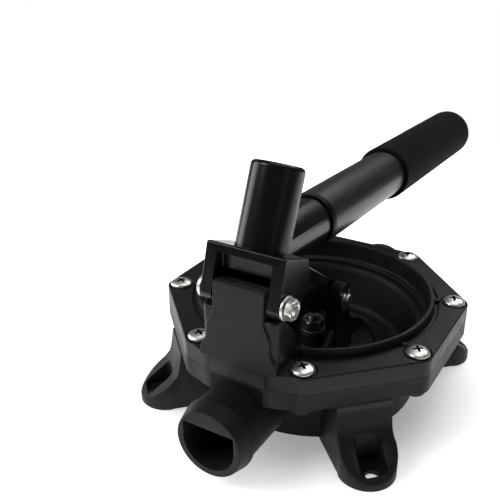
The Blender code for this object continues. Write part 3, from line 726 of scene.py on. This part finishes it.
def foot(name, angle):
    """A foot as a loft of upright sections from the bowl to the round toe."""
    sections = [foot_section(BOWL_ROOT, FOOT_HALF_WIDTH, FOOT_TOP, 0.0032)]
    for reach in (0.0600, 0.0680):
        sections.append(foot_section(reach, FOOT_HALF_WIDTH, FOOT_TOP))
    for reach in (0.0686, 0.0690, 0.0694, 0.0700, 0.0708, 0.0718, 0.0730):
        sections.append(foot_section(reach, FOOT_HALF_WIDTH, foot_height(reach)))
    for i in range(17):
        sweep = math.radians(2 + 5.3 * i)
        reach = FOOT_TOE_CENTRE + FOOT_TOE_RADIUS * math.sin(sweep)
        sections.append(foot_section(reach, FOOT_TOE_RADIUS * math.cos(sweep), foot_height(reach)))
    turn = Matrix.Rotation(angle, 4, "Z")
    return loft(name, [[turn @ point for point in loop] for loop in sections])


def port(name, side):
    """The barbed outside of a port, from inside the bowl's wall to its face."""
    corners = [(0, BOWL_ROOT), (PORT_ROOT_RADIUS, BOWL_ROOT, 0), (PORT_ROOT_RADIUS, TAIL_START, 0)]
    corners += [(PORT_RADIUS, TAIL_START, 0), (PORT_RADIUS - 0.0001, 0.0846, 0.0006)]
    corners += [(BARB_RADIUS, 0.0856, 0.0004), (BARB_RADIUS, 0.0871, 0.0004)]
    corners += [(0.0152, PORT_FACE, 0.0005), (0, PORT_FACE)]
    return turned(name, fillet(corners), 96, along((0, side, 0), (0, 0, PORT_HEIGHT)))


def bowl():
    """The bowl, its flange and its bead groove as one closed skin."""
    under = fillet([(0.0470, UNDERSIDE), (0.0512, UNDERSIDE, 0.0015), (0.0529, 0.0060, 0)])[:-1]
    wall = [(BOWL_FOOT_RADIUS, 0.0100), (BOWL_RADIUS, 0.0265)]
    cove = 0.0018
    root = arc((BOWL_RADIUS + cove, FLANGE_BOTTOM - cove), cove, 180, 90, 4)
    outside = round_loops(under + wall + root) + flange_edge(FLANGE_BOTTOM, -1)
    outside += flange_edge(JOINT_LOW, 1, JOINT_ROUND, 1)
    shelf = BODY_TOP - RUBBER - GAP
    inner = [
        (BEAD_OUTER, JOINT_LOW, 0.0003), (BEAD_OUTER, BEAD_FLOOR), (BEAD_INNER, BEAD_FLOOR),
        (BEAD_INNER, shelf, 0.0003), (LIP_RADIUS, shelf, 0.0006), (LIP_RADIUS, 0.0355, 0.001),
        (CAVITY_RADIUS, 0.028, 0.002), (0.0485, 0.006, 0.0), (0.0482, FLOOR_TOP, 0.0030),
        (0.0400, FLOOR_TOP, 0),
    ]
    frame_corners = [(0.0620, JOINT_LOW, 0)] + inner + [(0.0400, 0.06, 0)]
    skin = fillet(frame_corners, 3, 0.0003)[1:-1]
    return loft("bowl_moulding", outside + round_loops(skin))


def front_pad():
    """Plan of the flange drawn out under the pillar, as (x, y) points tangent to its corners."""
    corners = [(0.0262, -0.0640, 0), (0.0275, -0.0676, 0), (0.0150, PILLAR_FACE, 0.012)]
    return fillet(corners + [(-x, y, r) for x, y, r in reversed(corners)], 8)


def foot_cutters():
    """Round-cornered pockets, and the screw holes in their floors."""
    corners = []
    half_length, half_width = FOOT_POCKET_HALF
    for x, y, start in ((1, 1, 0), (-1, 1, 90), (-1, -1, 180), (1, -1, 270)):
        reach = FOOT_POCKET_CENTRE + x * (half_length - FOOT_POCKET_CORNER)
        centre = (reach, y * (half_width - FOOT_POCKET_CORNER))
        corners += arc(centre, FOOT_POCKET_CORNER, start, start + 90, 8)
    form = bmesh.new()
    for angle in FOOT_ANGLES:
        turn = Matrix.Rotation(angle, 4, "Z")
        drawn = inset(corners, 0.0006)
        levels = ((drawn, FLOOR_TOP), (corners, FLOOR_TOP + 0.0006), (corners, 0.0330))
        add_loft(form, [[turn @ Vector((x, y, z)) for x, y in plan] for plan, z in levels])
    pockets = object_from("foot_pocket_cut", form)
    wide = FOOT_HOLE_RADIUS + 0.0010
    hole = [(0, -0.001), (wide, -0.001, 0), (wide, -0.0001, 0), (FOOT_HOLE_RADIUS, 0.0006, 0.0004)]
    hole += [(FOOT_HOLE_RADIUS, FLOOR_TOP - 0.0004, 0.0003)]
    hole += [(FOOT_HOLE_RADIUS + 0.0006, FLOOR_TOP + 0.0003, 0), (0, FLOOR_TOP + 0.0003)]
    centres = [on_circle(FOOT_HOLE_CENTRE, angle) for angle in FOOT_ANGLES]
    return pockets, rods("foot_hole_cut", centres, fillet(hole, 3), 40)


def cut_port(body, name, side, wide_end):
    """Bores a port in two sizes, with a socket for the flap's pin."""
    seat = SEATS[name]
    ends = (side * PORT_INNER_END, side * (PORT_FACE + 0.001))
    cut(body, slab(f"{name}_narrow_cut", d_outline(SEAT_STEP), *ends, across="Y", edge=0))
    cut(body, slab(f"{name}_wide_cut", d_outline(), wide_end - 0.001, seat, across="Y", edge=0))
    bore(body, f"{name}_pin_cut", FLAP_PINS[name], FLAP_PIN_RADIUS + GAP, FLAP_SOCKET_REACH, 22)


def make_body():
    """The body: bowl, ports, pad, feet and bosses, then the holes, pockets and port bores."""
    body = bowl()
    add(body, port("outlet_port", -1), port("inlet_port", 1))
    root = rectangle(PILLAR_FACE + 0.0001, PORT_HEIGHT, -BOWL_ROOT, 0.0340)
    add(body, slab("outlet_root", root, -0.0126, 0.0126, edge=0.0008))
    web = rectangle(BOWL_ROOT, PORT_HEIGHT, 0.0680, 0.0345)
    add(body, slab("inlet_root", web, -PORT_ROOT_RADIUS, PORT_ROOT_RADIUS, edge=0.0008))
    levels = (FLANGE_BOTTOM + 0.0006, JOINT_LOW - PAD_SHY)
    add(body, slab("front_pad", front_pad(), *levels, across="Z", edge=0))
    for i, angle in enumerate(FOOT_ANGLES):
        add(body, foot(f"foot_{i + 1}", angle))
    boss = [(0, 0.0275), (0.0048, 0.0275, 0.0008), (0.0058, 0.0310, 0), (0, 0.0310)]
    add(body, rods("screw_bosses", SCREW_CENTRES, fillet(boss, 3), 40))
    hole = rectangle(0, 0.0285, SCREW_RADIUS + GAP, 0.0410)
    cut(body, rods("screw_hole_cut", SCREW_CENTRES, hole))
    cut(body, *foot_cutters())
    cut_port(body, "outlet", -1, -PORT_FACE)
    cut_port(body, "inlet", 1, PORT_INNER_END)
    settle(body)
    finish(body, BODY_PLASTIC, "pump", "pump_body", slot="moulded_black")


# ---- flaps


def make_flap(name):
    """A moulded rubber flap on its seat: a thick rim, a thinner middle and a pinned knuckle."""
    pin = FLAP_PINS[name]
    back = pin.y + FLAP_KNUCKLE
    half = BORE_HALF_WIDTH - 0.0007
    corners = [(-half, pin.z), (half, pin.z)]
    outline = corners + arc((0.0, PORT_HEIGHT), half, 0, -180, 40)
    flap = slab(f"{name}_flap_rubber", outline, back - FLAP_THICKNESS, back, across="Y")
    place = sideways(pin)
    add(flap, turned(f"{name}_knuckle", rectangle(0, -half, FLAP_KNUCKLE, half), 40, place))
    rim, levels = inset(outline, 0.0026), (back - 0.0030, back - 0.0016)
    cut(flap, slab(f"{name}_panel_cut", rim, *levels, across="Y", edge=0.0003))
    bore(flap, f"{name}_bore", pin, FLAP_PIN_RADIUS + GAP, 0.014, 24)
    settle(flap)
    finish(flap, FLAP_RUBBER, f"{name}_flap", f"{name}_flap", slot="rubber")
    corners = [(FLAP_PIN_RADIUS, -FLAP_PIN_REACH, 0.0003), (FLAP_PIN_RADIUS, FLAP_PIN_REACH, 0.0003)]
    rod = fillet([(0, -FLAP_PIN_REACH), *corners, (0, FLAP_PIN_REACH)], 3)
    steel = turned(f"{name}_flap_rod", rod, 24, place)
    finish(steel, STEEL, "pump", f"{name}_flap_pin", slot="stainless")


# ---- clamp ring


def ring_section():
    """Loops round the clamp ring's section, from the joint face up over the lip to its bore."""
    loops = flange_edge(JOINT_HIGH, -1, JOINT_ROUND, 1) + flange_edge(DECK, 1, 0.0009)
    inner = [
        (0.0620, DECK, 0), (0.0594, DECK, 0.0003), (0.0590, GROOVE_FLOOR, 0.0003),
        (0.0576, GROOVE_FLOOR, 0.0004), (0.0569, LIP_TOP, 0.0007), (0.0550, LIP_TOP, 0.0007),
        (0.0542, 0.0415, 0.0009), (RING_BORE, 0.0404, 0.0004), (RING_BORE, JOINT_HIGH, 0.0002),
        (0.0640, JOINT_HIGH, 0),
    ]
    return loops + round_loops(fillet(inner)[:-1])


def pillar_plate():
    """The pillar's front wall, leaning back a little as it rises and flared at its foot."""
    corners = [(0.0120, 0.0820, 0.0005), (0.0120, 0.0690, 0.004), (0.0151, 0.0620, 0.004)]
    corners += [(0.0153, 0.0560, 0.005), (0.0176, 0.0515, 0.006), (0.0186, 0.0464, 0)]
    outline = fillet(mirrored(corners), 5)
    loops = []
    rounding = [(0.0006, 0.0), (0.0003, 0.0001), (0.0001, 0.0003), (0.0, 0.0006), (0.0, 0.0030)]
    for depth, back in rounding:
        plan = inset(outline, depth)
        loops.append([(x, PILLAR_FACE + PILLAR_SLOPE * (z - DECK) + back, z) for x, z in plan])
    return loft("pillar_plate", loops)


def gusset(name, side):
    """A curved side wall from under a lever cheek down to the lip, rounded over in front."""
    turns = [math.radians(10 * i) for i in range(10)]
    stations = [(0.0121, -0.0702)]
    stations += [(0.0150 + 0.0030 * math.sin(t), -0.0665 - 0.0037 * math.cos(t)) for t in turns]
    loops = []
    for i, (reach, front) in enumerate(stations):
        wall = [(front, 0.0460, 0), (front, 0.0698, 0.001), (-0.0640, 0.0697, 0.003)]
        wall += [(-0.0565, 0.0615, 0.008), (-0.0525, 0.0545, 0.004), (-0.0522, 0.0505, 0.002)]
        wall += [(-0.0550, 0.0460, 0)]
        shrink = max(0.0, 0.0008 * (i - len(stations) + 4) / 3)
        loops.append([(side * reach, y, z) for y, z in inset(fillet(wall, 5), shrink)])
    return loft(name, loops)


def deck_ribs():
    """A short raised rib across the deck at each screw, from the lip to the screw's pocket."""
    form = bmesh.new()
    section = [(-0.0010, 0.0455, 0), (-0.0010, 0.0478), (0.0010, 0.0478), (0.0010, 0.0455, 0)]
    section = fillet(section, 3, 0.0004)
    for angle in SCREW_ANGLES:
        turn = Matrix.Rotation(angle, 4, "Z")
        add_loft(form, [[turn @ Vector((x, y, z)) for y, z in section] for x in (0.0563, 0.0615)])
    return object_from("deck_ribs", form)


def make_ring():
    """The clamp ring with its lip, pillar, gussets, deck ribs and screw pockets."""
    ring = loft("ring_moulding", ring_section(), closed=True)
    levels = (JOINT_HIGH + PAD_SHY, DECK - 0.0001)
    add(ring, slab("ring_pad", front_pad(), *levels, across="Z", edge=0.00008))
    add(ring, pillar_plate())
    rib = [(RIB_FRONT, 0.0460), (RIB_FRONT, 0.0690), (-0.0590, 0.0690), (-0.0590, 0.0460)]
    crown = arc(HINGE.yz, CROWN_RADIUS, 0, 120, 20)
    block = [(RIB_FRONT, 0.0660), (-0.0586, 0.0660)] + crown + [(-0.0702, 0.0795)]
    for side in (-1, 1):
        add(ring, gusset(f"gusset_{side + 2}", side))
        add(ring, slab(f"pillar_rib_{side + 2}", rib, side * 0.0085, side * 0.0115))
    add(ring, slab("hinge_block", block, -PILLAR_HALF_WIDTH, PILLAR_HALF_WIDTH, edge=0.0005))
    add(ring, deck_ribs())
    pocket = [(0, GROOVE_FLOOR), (0.0058, GROOVE_FLOOR, 0.0003), (0.0060, DECK - 0.0004, 0.0003)]
    pocket += [(0.0066, DECK + 0.0002, 0), (0.0066, 0.0560, 0), (0, 0.0560)]
    cut(ring, rods("screw_pocket_cut", SCREW_CENTRES, fillet(pocket, 3), 48))
    hole = rectangle(0, 0.0380, SCREW_RADIUS + GAP, 0.0480)
    cut(ring, rods("ring_screw_hole_cut", SCREW_CENTRES, hole))
    bore(ring, "pillar_bore_cut", HINGE, BOLT_RADIUS + GAP, 0.014, 32)
    settle(ring)
    finish(ring, RING_PLASTIC, "pump", "clamp_ring", slot="moulded_black")


# ---- fasteners


def thread(radius, low, high, pitch, depth):
    """The wavy side of a threaded rod's outline, as (radius, height) pairs."""
    points = []
    count = round((high - low) / pitch)
    step = (high - low) / count
    for i in range(count):
        foot_z = low + (high - low) * i / count
        points += [(radius - depth, foot_z + 0.1 * step)]
        points += [(radius, foot_z + share * step) for share in (0.5, 0.6)]
    return points


def dome(radius, rim, rise, count):
    """Points up the side of a dome, 10 degrees apart, as (radius, height) pairs."""
    turns = [math.radians(10 * i) for i in range(1, count + 1)]
    return [(radius * math.cos(turn), rim + rise * math.sin(turn)) for turn in turns]


def make_screws():
    """Pan-head screws with a tapered cross recess and threads, turned each to its own angle."""
    tip = HEAD_SEAT - 0.0155
    profile = [(0, tip), (SCREW_RADIUS - 0.0009, tip)]
    profile += thread(SCREW_RADIUS, tip + 0.0006, HEAD_SEAT - 0.001, 0.0010, 0.0005)
    profile += [(SCREW_RADIUS, HEAD_SEAT - 0.0002), (SCREW_RADIUS, HEAD_SEAT), (0.0048, HEAD_SEAT)]
    profile += [(HEAD_RADIUS, HEAD_SEAT + 0.0003), (HEAD_RADIUS, HEAD_RIM)]
    screw = turned("cross_head_screw", profile + dome(HEAD_RADIUS, HEAD_RIM, DOME_RISE, 9), 48)
    for mark in range(2):
        turn = Matrix.Rotation(math.radians(90 * mark), 4, "Z")
        loops = []
        for long, wide, rise in ((0.0011, 0.00035, 0.0004), (0.0030, 0.00072, 0.0035)):
            corners = fillet(rectangle(-long, -wide, long, wide), 3, 0.00025)
            loops.append([turn @ Vector((x, y, HEAD_SEAT + rise)) for x, y in corners])
        cut(screw, loft(f"cross_{mark + 1}", loops))
    settle(screw)
    recess = [face.index for face in screw.data.polygons if in_recess(face)]
    for i, (angle, centre) in enumerate(zip(SCREW_ANGLES, SCREW_CENTRES)):
        mesh = screw.data.copy()
        turn = Matrix.Rotation(angle + SCREW_TWIST * i, 4, "Z")
        mesh.transform(Matrix.Translation(centre) @ turn)
        copy = in_scene(f"cross_head_screw_{i + 1}", mesh)
        finish(copy, STEEL, "pump", f"ring_screw_{i + 1}", slot="stainless", angle=32)
        # The cross recess faces take a near-black steel: painted shade in the recess.
        mesh.materials.append(RECESS_SHADE_STEEL)
        for index in recess:
            mesh.polygons[index].material_index = 1
    bpy.data.objects.remove(screw, do_unlink=True)


def in_recess(face):
    """True for a face of the cross recess: over the seat, near the axis and not on the dome."""
    near = math.hypot(face.center.x, face.center.y) < RECESS_RADIUS
    height = face.center.z - HEAD_SEAT
    return near and height > 0.0001 and (face.normal.z < 0.6 or height < 0.0010)


def hex_nut(name, width, low, high, bore_radius, place=Matrix()):
    """A hexagon nut with its corners turned off and its thread chamfered."""
    steps = 72
    face, mouth = width / 2 * 0.985, bore_radius + 0.0006
    rows = [(None, low + 0.0004), (None, high - 0.0004), (face, high), (mouth, high)]
    rows += [(bore_radius, high - 0.0005), (bore_radius, low + 0.0005), (mouth, low), (face, low)]
    loops = []
    for radius, level in rows:
        loop = []
        for i in range(steps):
            angle = 2 * math.pi * i / steps
            reach, height = radius, level
            if radius is None:
                flat = (math.degrees(angle) + 30) % 60 - 30
                reach = width / 2 / math.cos(math.radians(flat))
                chamfer = (reach - width / 2) * 0.55
                height = level - chamfer if level > (low + high) / 2 else level + chamfer
            loop.append(place @ on_circle(reach, angle, height))
        loops.append(loop)
    return loft(name, loops, closed=True)


def washer(name, bore_radius, radius, low, high, place=Matrix()):
    outline = fillet(rectangle(bore_radius, low, radius, high), 3, (high - low) * 0.3)
    return turned(name, outline, 64, place)


def make_hinge_fasteners():
    """The hinge bolt through cheeks and pillar: domed head on -X, washer and nut on +X."""
    place = sideways(HINGE)
    outside = CHEEK_OUTER + GAP
    radius, rim, rise = 0.0050, 0.0008, 0.0022
    profile = [(0, -outside - 0.0030)] + dome(radius, -outside - rim, -rise, 8)[::-1]
    profile += [(radius, -outside - 0.0002), (0.0048, -outside), (BOLT_RADIUS, -outside)]
    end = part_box("hinge_bolt")[1].x
    profile += [(BOLT_RADIUS, 0.0150)] + thread(BOLT_RADIUS, 0.0152, end - 0.0006, 0.0008, 0.0003)
    profile += [(BOLT_RADIUS - 0.0005, end - 0.0002), (BOLT_RADIUS - 0.0008, end), (0, end)]
    bolt = turned("pivot_bolt", profile, 48, place)
    loops = []
    for level in (-outside - 0.0040, -outside - 0.0012):
        loops.append([place @ on_circle(0.0016, math.radians(60 * i), level) for i in range(6)])
    cut(bolt, loft("socket_cut", loops))
    settle(bolt)
    finish(bolt, BOLT_STEEL, "lever", "hinge_bolt", slot="stainless", angle=32)
    top = outside + 0.0010
    ring = washer("pivot_washer", BOLT_RADIUS + GAP, 0.0052, outside, top, place)
    finish(ring, STEEL, "lever", "hinge_washer", slot="stainless")
    nut_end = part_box("hinge_nut")[1].x
    nut = hex_nut("pivot_nut", 0.0080, top + GAP, nut_end, BOLT_RADIUS + GAP, place)
    finish(nut, BOLT_STEEL, "lever", "hinge_nut", slot="stainless", angle=32)


def make_centre_fasteners():
    """The bolt, washer, nut and backing plate that clamp the rubber to its plate."""
    top = PLATE_BOTTOM - 2 * GAP - RUBBER
    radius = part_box("diaphragm_backing_plate")[1].x
    under = top - BACKING_THICKNESS
    outline = [(CENTRE_BORE, under), (radius - 0.001, under, 0.0006), (radius, top, 0.0006)]
    backing = turned("backing_disc", fillet([*outline, (CENTRE_BORE, top)], radius=0.0003), 96)
    finish(backing, PLATE_PLASTIC, "plate", "diaphragm_backing_plate", slot="moulded_black")
    seat = under - GAP
    low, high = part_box("centre_bolt")
    shank = CENTRE_BOLT_RADIUS
    profile = [(0, low.z), (0.0035, low.z), (0.0052, low.z + 0.0006), (0.0060, seat - 0.0005)]
    profile += [(0.0058, seat), (shank, seat), (shank, 0.0270)]
    profile += thread(shank, 0.0272, 0.0345, 0.0009, 0.0003)
    profile += [(0.0026, high.z - 0.0003), (0.0022, high.z), (0, high.z)]
    bolt = turned("clamp_bolt", profile, 48)
    finish(bolt, DULL_STEEL, "plate", "centre_bolt", slot="stainless", angle=32)
    ring = washer("clamp_washer", CENTRE_BORE, 0.0062, 0.0267, 0.0277)
    finish(ring, DULL_STEEL, "plate", "centre_washer", slot="stainless")
    nut = hex_nut("clamp_nut", 0.0100, 0.0280, 0.0328, CENTRE_BORE)
    finish(nut, DULL_STEEL, "plate", "centre_nut", slot="stainless", angle=32)


def make_clevis_pin():
    """The headed pin through ears and eye, and the spring clip in its groove."""
    head, neck = 0.0044, 0.0022
    start, seat, groove_end, end = -0.0185, 0.0163, 0.0175, 0.0189
    corners = [(0, start), (head, start, 0.0006), (head, -seat, 0.0002), (CLEVIS_PIN_RADIUS, -seat, 0)]
    corners += [(CLEVIS_PIN_RADIUS, seat, 0.0001), (neck, seat, 0.0001), (neck, groove_end, 0.0001)]
    corners += [(CLEVIS_PIN_RADIUS, groove_end, 0.0001), (CLEVIS_PIN_RADIUS, end, 0.0005), (0, end)]
    pin = turned("pivot_pin", fillet(corners, 3), 48, sideways(CLEVIS))
    finish(pin, STEEL, "plate", "clevis_pin", slot="stainless")
    outer = arc(CLEVIS.yz, 0.0055, -235, 55, 48)
    inner = arc(CLEVIS.yz, 0.0025, 55, -235, 40)
    clip = slab("spring_clip", outer + inner, 0.0166, 0.0172, edge=0.00012)
    finish(clip, STEEL, "plate", "clevis_pin_clip", slot="stainless")


# ---- diaphragm and fork


def make_diaphragm():
    """The rubber diaphragm: clamped bead, rolling wall with a shallow crease, and its flat."""
    low, top = RUBBER_LOW, BODY_TOP
    flat = low + RUBBER
    corners = [
        (0.0036, low, 0), (0.0440, low, 0.002), (0.0472, low + 0.0034, 0.003),
        (0.0484, 0.0275, 0.004), (0.0502, 0.0350, 0.003), (0.0507, top - RUBBER, 0.0004),
        (BEAD_INNER + GAP, top - RUBBER, 0.0003), (BEAD_INNER + GAP, BEAD_FLOOR + GAP, 0.0004),
        (BEAD_OUTER - GAP, BEAD_FLOOR + GAP, 0.0004), (BEAD_OUTER - GAP, top, 0.0004),
        (0.0497, top, 0.0012), (0.0487, 0.0365, 0.003), (0.0467, 0.0270, 0.004),
        (0.0453, low + 0.0032, 0.0028), (0.0434, flat, 0.002), (0.0400, flat, 0.0006),
        (0.0395, flat + 0.0005, 0.0005), (0.0385, flat + 0.0005, 0.0005), (0.0380, flat, 0.0006),
        (0.0036, flat, 0),
    ]
    rubber = turned("rubber_diaphragm", fillet(corners, 6), 128)
    mesh = rubber.data
    mesh.shade_smooth()
    mesh.set_sharp_from_angle(angle=math.radians(50))
    mesh.materials.append(RUBBER_LOOK)
    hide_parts("diaphragm")
    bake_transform(rubber)


def make_plate():
    """The plate above the rubber: its rim, its boss, the two clevis ears and their braces."""
    corners = [
        (CENTRE_BORE, PLATE_BOTTOM, 0), (PLATE_RADIUS, PLATE_BOTTOM, 0.0004),
        (PLATE_RADIUS, PLATE_TOP + 0.001, 0.0006),
        (PLATE_RADIUS - 0.0016, PLATE_TOP + 0.001, 0.0005),
        (PLATE_RADIUS - 0.0020, PLATE_TOP, 0.0004), (0.0078, PLATE_TOP, 0.0008),
        (0.0065, BOSS_TOP, 0.0005), (CENTRE_BORE, BOSS_TOP, 0.0003),
    ]
    plate = turned("fork_moulding", fillet(corners), 96)
    ear = [(0.0092, EAR_FOOT, 0), (0.0082, 0.0300, 0.01), (0.0079, CLEVIS.z, 0), (0.0, 0.0300, 0)]
    ear = fillet(ear)[:-1] + arc((0.0, CLEVIS.z), EAR_RADIUS, 0, 180, 32)
    ear += [(-0.0079, CLEVIS.z), (-0.0082, 0.0300), (-0.0092, EAR_FOOT)]
    brace = [(0.0070, 0.0350), (0.0100, 0.0335), (0.0170, 0.0285), (0.0240, 0.0250), (0.0300, 0.0205)]
    brace = mirrored(brace + [(0.0302, EAR_FOOT)])
    for side in (-1, 1):
        mark = side + 2
        flare = [(EAR_INNER, CLEVIS.z), (EAR_OUTER, CLEVIS.z), (EAR_OUTER, 0.0300, 0.01)]
        flare += [(0.0185, EAR_FOOT), (EAR_INNER, EAR_FOOT)]
        flare = fillet([(side * p[0], *p[1:]) for p in flare], 6)
        add(plate, slab(f"ear_{mark}", ear, side * EAR_INNER, side * EAR_OUTER, edge=0.0005))
        add(plate, slab(f"ear_foot_{mark}", flare, -0.0076, 0.0076, across="Y"))
        add(plate, slab(f"ear_brace_{mark}", brace, *[side * reach for reach in BRACE_SIDES]))
    bore(plate, "ear_bore_cut", CLEVIS, CLEVIS_PIN_RADIUS + GAP, 0.018, 40)
    settle(plate)
    finish(plate, PLATE_PLASTIC, "plate", "diaphragm_fork", slot="moulded_black")


# ---- lever and handle


def spigot(name, direction, length, edge):
    """A solid spigot from inside the hub, with a rounded end."""
    outline = fillet([(0, 0), (SPIGOT_RADIUS, 0, 0), (SPIGOT_RADIUS, length, edge), (0, length)], 6)
    return turned(name, outline, 96, along(direction, SPIGOT_FOOT))


def make_lever():
    """The lever: two cheeks and a web over the pillar, two spigots, and the arm to the clevis."""
    hub = arc(HINGE.yz, CHEEK_ROUND, 180, 270, 12)
    corners = [(-0.0648, 0.0703, 0), (-0.0500, 0.0703, 0.0012), (-0.0415, 0.0745, 0.002)]
    corners += [(-0.0433, 0.0839, 0.004), (-0.0446, 0.0884, 0.001), (-0.0628, 0.0958, 0.0006)]
    corners += [(-0.0640, 0.0958, 0.0006), (-0.0700, 0.0755, 0)]
    hub += fillet(corners, 5)[1:-1]
    lever = slab("lever_moulding", hub, -CHEEK_OUTER, CHEEK_OUTER, edge=0.0006)
    front, low = -0.0760, 0.0600
    hollow = [(front, low), (-0.0545, low), (-0.0545, 0.0815), (-0.0575, 0.0843), (front, 0.0843)]
    cut(lever, slab("lever_hollow_cut", hollow, -CHEEK_INNER, CHEEK_INNER, edge=0))
    recess = [(front, low), (-0.0632, low), (-0.0605, 0.0925), (-0.0660, 0.0925), (front, 0.0925)]
    cut(lever, slab("lever_recess_cut", recess, -CHEEK_INNER, CHEEK_INNER, edge=0.0008))
    arm = [(-0.0440, 0.0800), (-0.0500, 0.0780), (-0.0560, 0.0715), (-0.0480, 0.0665)]
    arm += [(-0.0340, 0.0590), (-0.0180, 0.0465)] + arc(CLEVIS.yz, EYE_RADIUS, 215, 405, 32)
    arm += [(-0.0087, 0.0625), (-0.0227, 0.0725), (-0.0330, 0.0790)]
    add(lever, slab("lever_arm", arm, -EYE_HALF_WIDTH, EYE_HALF_WIDTH, edge=0.0006))
    lean = Vector((0, math.sin(SPIGOT_LEAN), math.cos(SPIGOT_LEAN)))
    add(lever, spigot("steep_spigot", lean, STEEP_SPIGOT_LENGTH, 0.0020))
    add(lever, spigot("handle_spigot", HANDLE_AXIS, HANDLE_SPIGOT_LENGTH, 0.0010))
    bore(lever, "lever_bore_cut", HINGE, BOLT_RADIUS + GAP, 0.021, 32)
    reach = (CLEVIS - HINGE).normalized()
    tilt = math.degrees(math.atan2(reach.z, reach.y))
    slot = []
    for sign in (1, -1):
        centre = CLEVIS + sign * SLOT_TRAVEL * reach
        first = tilt - sign * 90
        slot += arc(centre.yz, CLEVIS_PIN_RADIUS + 0.001, first, first + 180, 16)
    cut(lever, slab("eye_slot_cut", slot, -0.012, 0.012, edge=0))
    settle(lever)
    finish(lever, LEVER_PLASTIC, "lever", "lever", slot="gloss_black")


def make_handle():
    """The tube over the low spigot, its end collar and its foam grip."""
    place = along(HANDLE_AXIS, SPIGOT_FOOT)
    start, end = TUBE_START - END_RING_LENGTH - GAP, TUBE_START - GAP
    groove = TUBE_RADIUS - 0.0007
    collar = [(TUBE_BORE, start), (TUBE_RADIUS, start, 0.0004), (TUBE_RADIUS, start + 0.0008, 0.0001)]
    collar += [(groove, start + 0.0010, 0.0001), (groove, start + 0.0016, 0.0001)]
    collar += [(TUBE_RADIUS, start + 0.0018, 0.0001), (TUBE_RADIUS, end, 0.0003), (TUBE_BORE, end)]
    ring = turned("tube_collar", fillet(collar, radius=0.0002), 96, place)
    finish(ring, COLLAR_PLASTIC, "handle", "handle_end_ring", slot="moulded_black")
    wall = [
        (TUBE_BORE, TUBE_START, 0.0002), (TUBE_RADIUS, TUBE_START, 0.0004),
        (TUBE_RADIUS, TUBE_END, 0.0002), (TUBE_BORE, TUBE_END, 0.0002),
    ]
    tube = turned("drawn_tube", fillet(wall), 128, place)
    finish(tube, TUBE_METAL, "handle", "handle_tube", slot="anodised_tube")
    inner, bottom = TUBE_RADIUS + GAP, TUBE_END + GAP
    foam = [(inner, GRIP_START, 0.0004), (GRIP_RADIUS, GRIP_START, 0.0012)]
    foam += [(GRIP_RADIUS, GRIP_END, 0.0048), (0, GRIP_END), (0, bottom), (inner, bottom, 0)]
    grip = turned("foam_grip", closely_spaced(fillet(foam, 8), 0.0016), 128, place)
    dent_grip(grip, place)
    finish(grip, GRIP_FOAM, "handle", "handle_grip", slot="foam")


def closely_spaced(outline, step):
    """The outline with points added about a step apart, except on edges that meet the axis."""
    spaced = []
    for i, point in enumerate(outline):
        spaced.append(point)
        follow = outline[(i + 1) % len(outline)]
        count = int(math.dist(point, follow) / step)
        if point[0] > 0.0 and follow[0] > 0.0:
            for k in range(1, count):
                spaced.append(tuple(p + (f - p) * k / count for p, f in zip(point, follow)))
    return spaced


def dent_grip(grip, place):
    """Presses the foam's outer skin in by up to 0.15 mm, in soft uneven patches."""
    back = place.inverted()
    for vertex in grip.data.vertices:
        local = back @ vertex.co
        radius = math.hypot(local.x, local.y)
        if radius < GRIP_RADIUS - FOAM_SKIN:
            continue
        patch = 0.5 + 0.5 * noise.noise(vertex.co * 110)
        fine = 0.5 + 0.5 * noise.noise(vertex.co * 900)
        press = PATCH_DEPTH * patch + FINE_DEPTH * fine
        shrink = (radius - press) / radius
        vertex.co = place @ Vector((local.x * shrink, local.y * shrink, local.z))


# ---- stage


def area_light(name, place, size, power):
    """A soft box that lights the pump and stays out of the camera's sight."""
    light = bpy.data.lights.new(name, "AREA")
    light.shape = "RECTANGLE"
    light.size, light.size_y = size
    light.energy = power
    made = in_scene(name, light)
    made.visible_camera = False
    made.location = place
    made.rotation_euler = (LIGHT_TARGET - Vector(place)).to_track_quat("-Z", "Y").to_euler()


def make_world():
    """A surround that is white to the camera and dim to everything else."""
    world = bpy.data.worlds.new("studio")
    bpy.context.scene.world = world
    world.use_nodes = True
    seen = add_node(world.node_tree, "LightPath", {}).outputs["Is Camera Ray"]
    inputs = {"To Min": SURROUND_LEVEL, "To Max": 1.0, "Value": seen}
    level = add_node(world.node_tree, "MapRange", inputs).outputs["Result"]
    surround = world.node_tree.nodes["Background"]
    feed(surround, {"Color": (1.0, 1.0, 1.0, 1.0), "Strength": level})


def make_stage():
    """A pale floor, a pale surround and soft studio lights."""
    form = bmesh.new()
    bmesh.ops.create_grid(form, x_segments=8, y_segments=8, size=FLOOR_HALF)
    floor = object_from("floor", form)
    floor.location.z = FLOOR_LEVEL
    floor.data.materials.append(floor_paper("floor_paper"))
    make_world()
    for name, place, size, power in LIGHTS:
        area_light(name, place, size, power)
    bpy.context.scene.view_settings.view_transform = "Standard"


def make_camera():
    data = bpy.data.cameras.new("camera")
    data.lens = CAMERA_LENS
    data.sensor_width = CAMERA_SENSOR
    data.clip_start = 0.01
    camera = in_scene("camera", data)
    level = math.cos(CAMERA_ELEVATION)
    across, towards = math.sin(CAMERA_AZIMUTH) * level, -math.cos(CAMERA_AZIMUTH) * level
    back = Vector((across, towards, math.sin(CAMERA_ELEVATION)))
    turn = back.to_track_quat("Z", "Y").to_matrix().to_4x4()
    roll = Matrix.Rotation(CAMERA_ROLL, 4, "Z")
    camera.matrix_world = Matrix.Translation(CAMERA_PLACE) @ turn @ roll
    bpy.context.scene.camera = camera


make_camera()
make_stage()
make_body()
make_flap("outlet")
make_flap("inlet")
make_ring()
make_screws()
make_diaphragm()
make_plate()
make_centre_fasteners()
make_clevis_pin()
make_lever()
make_hinge_fasteners()
make_handle()
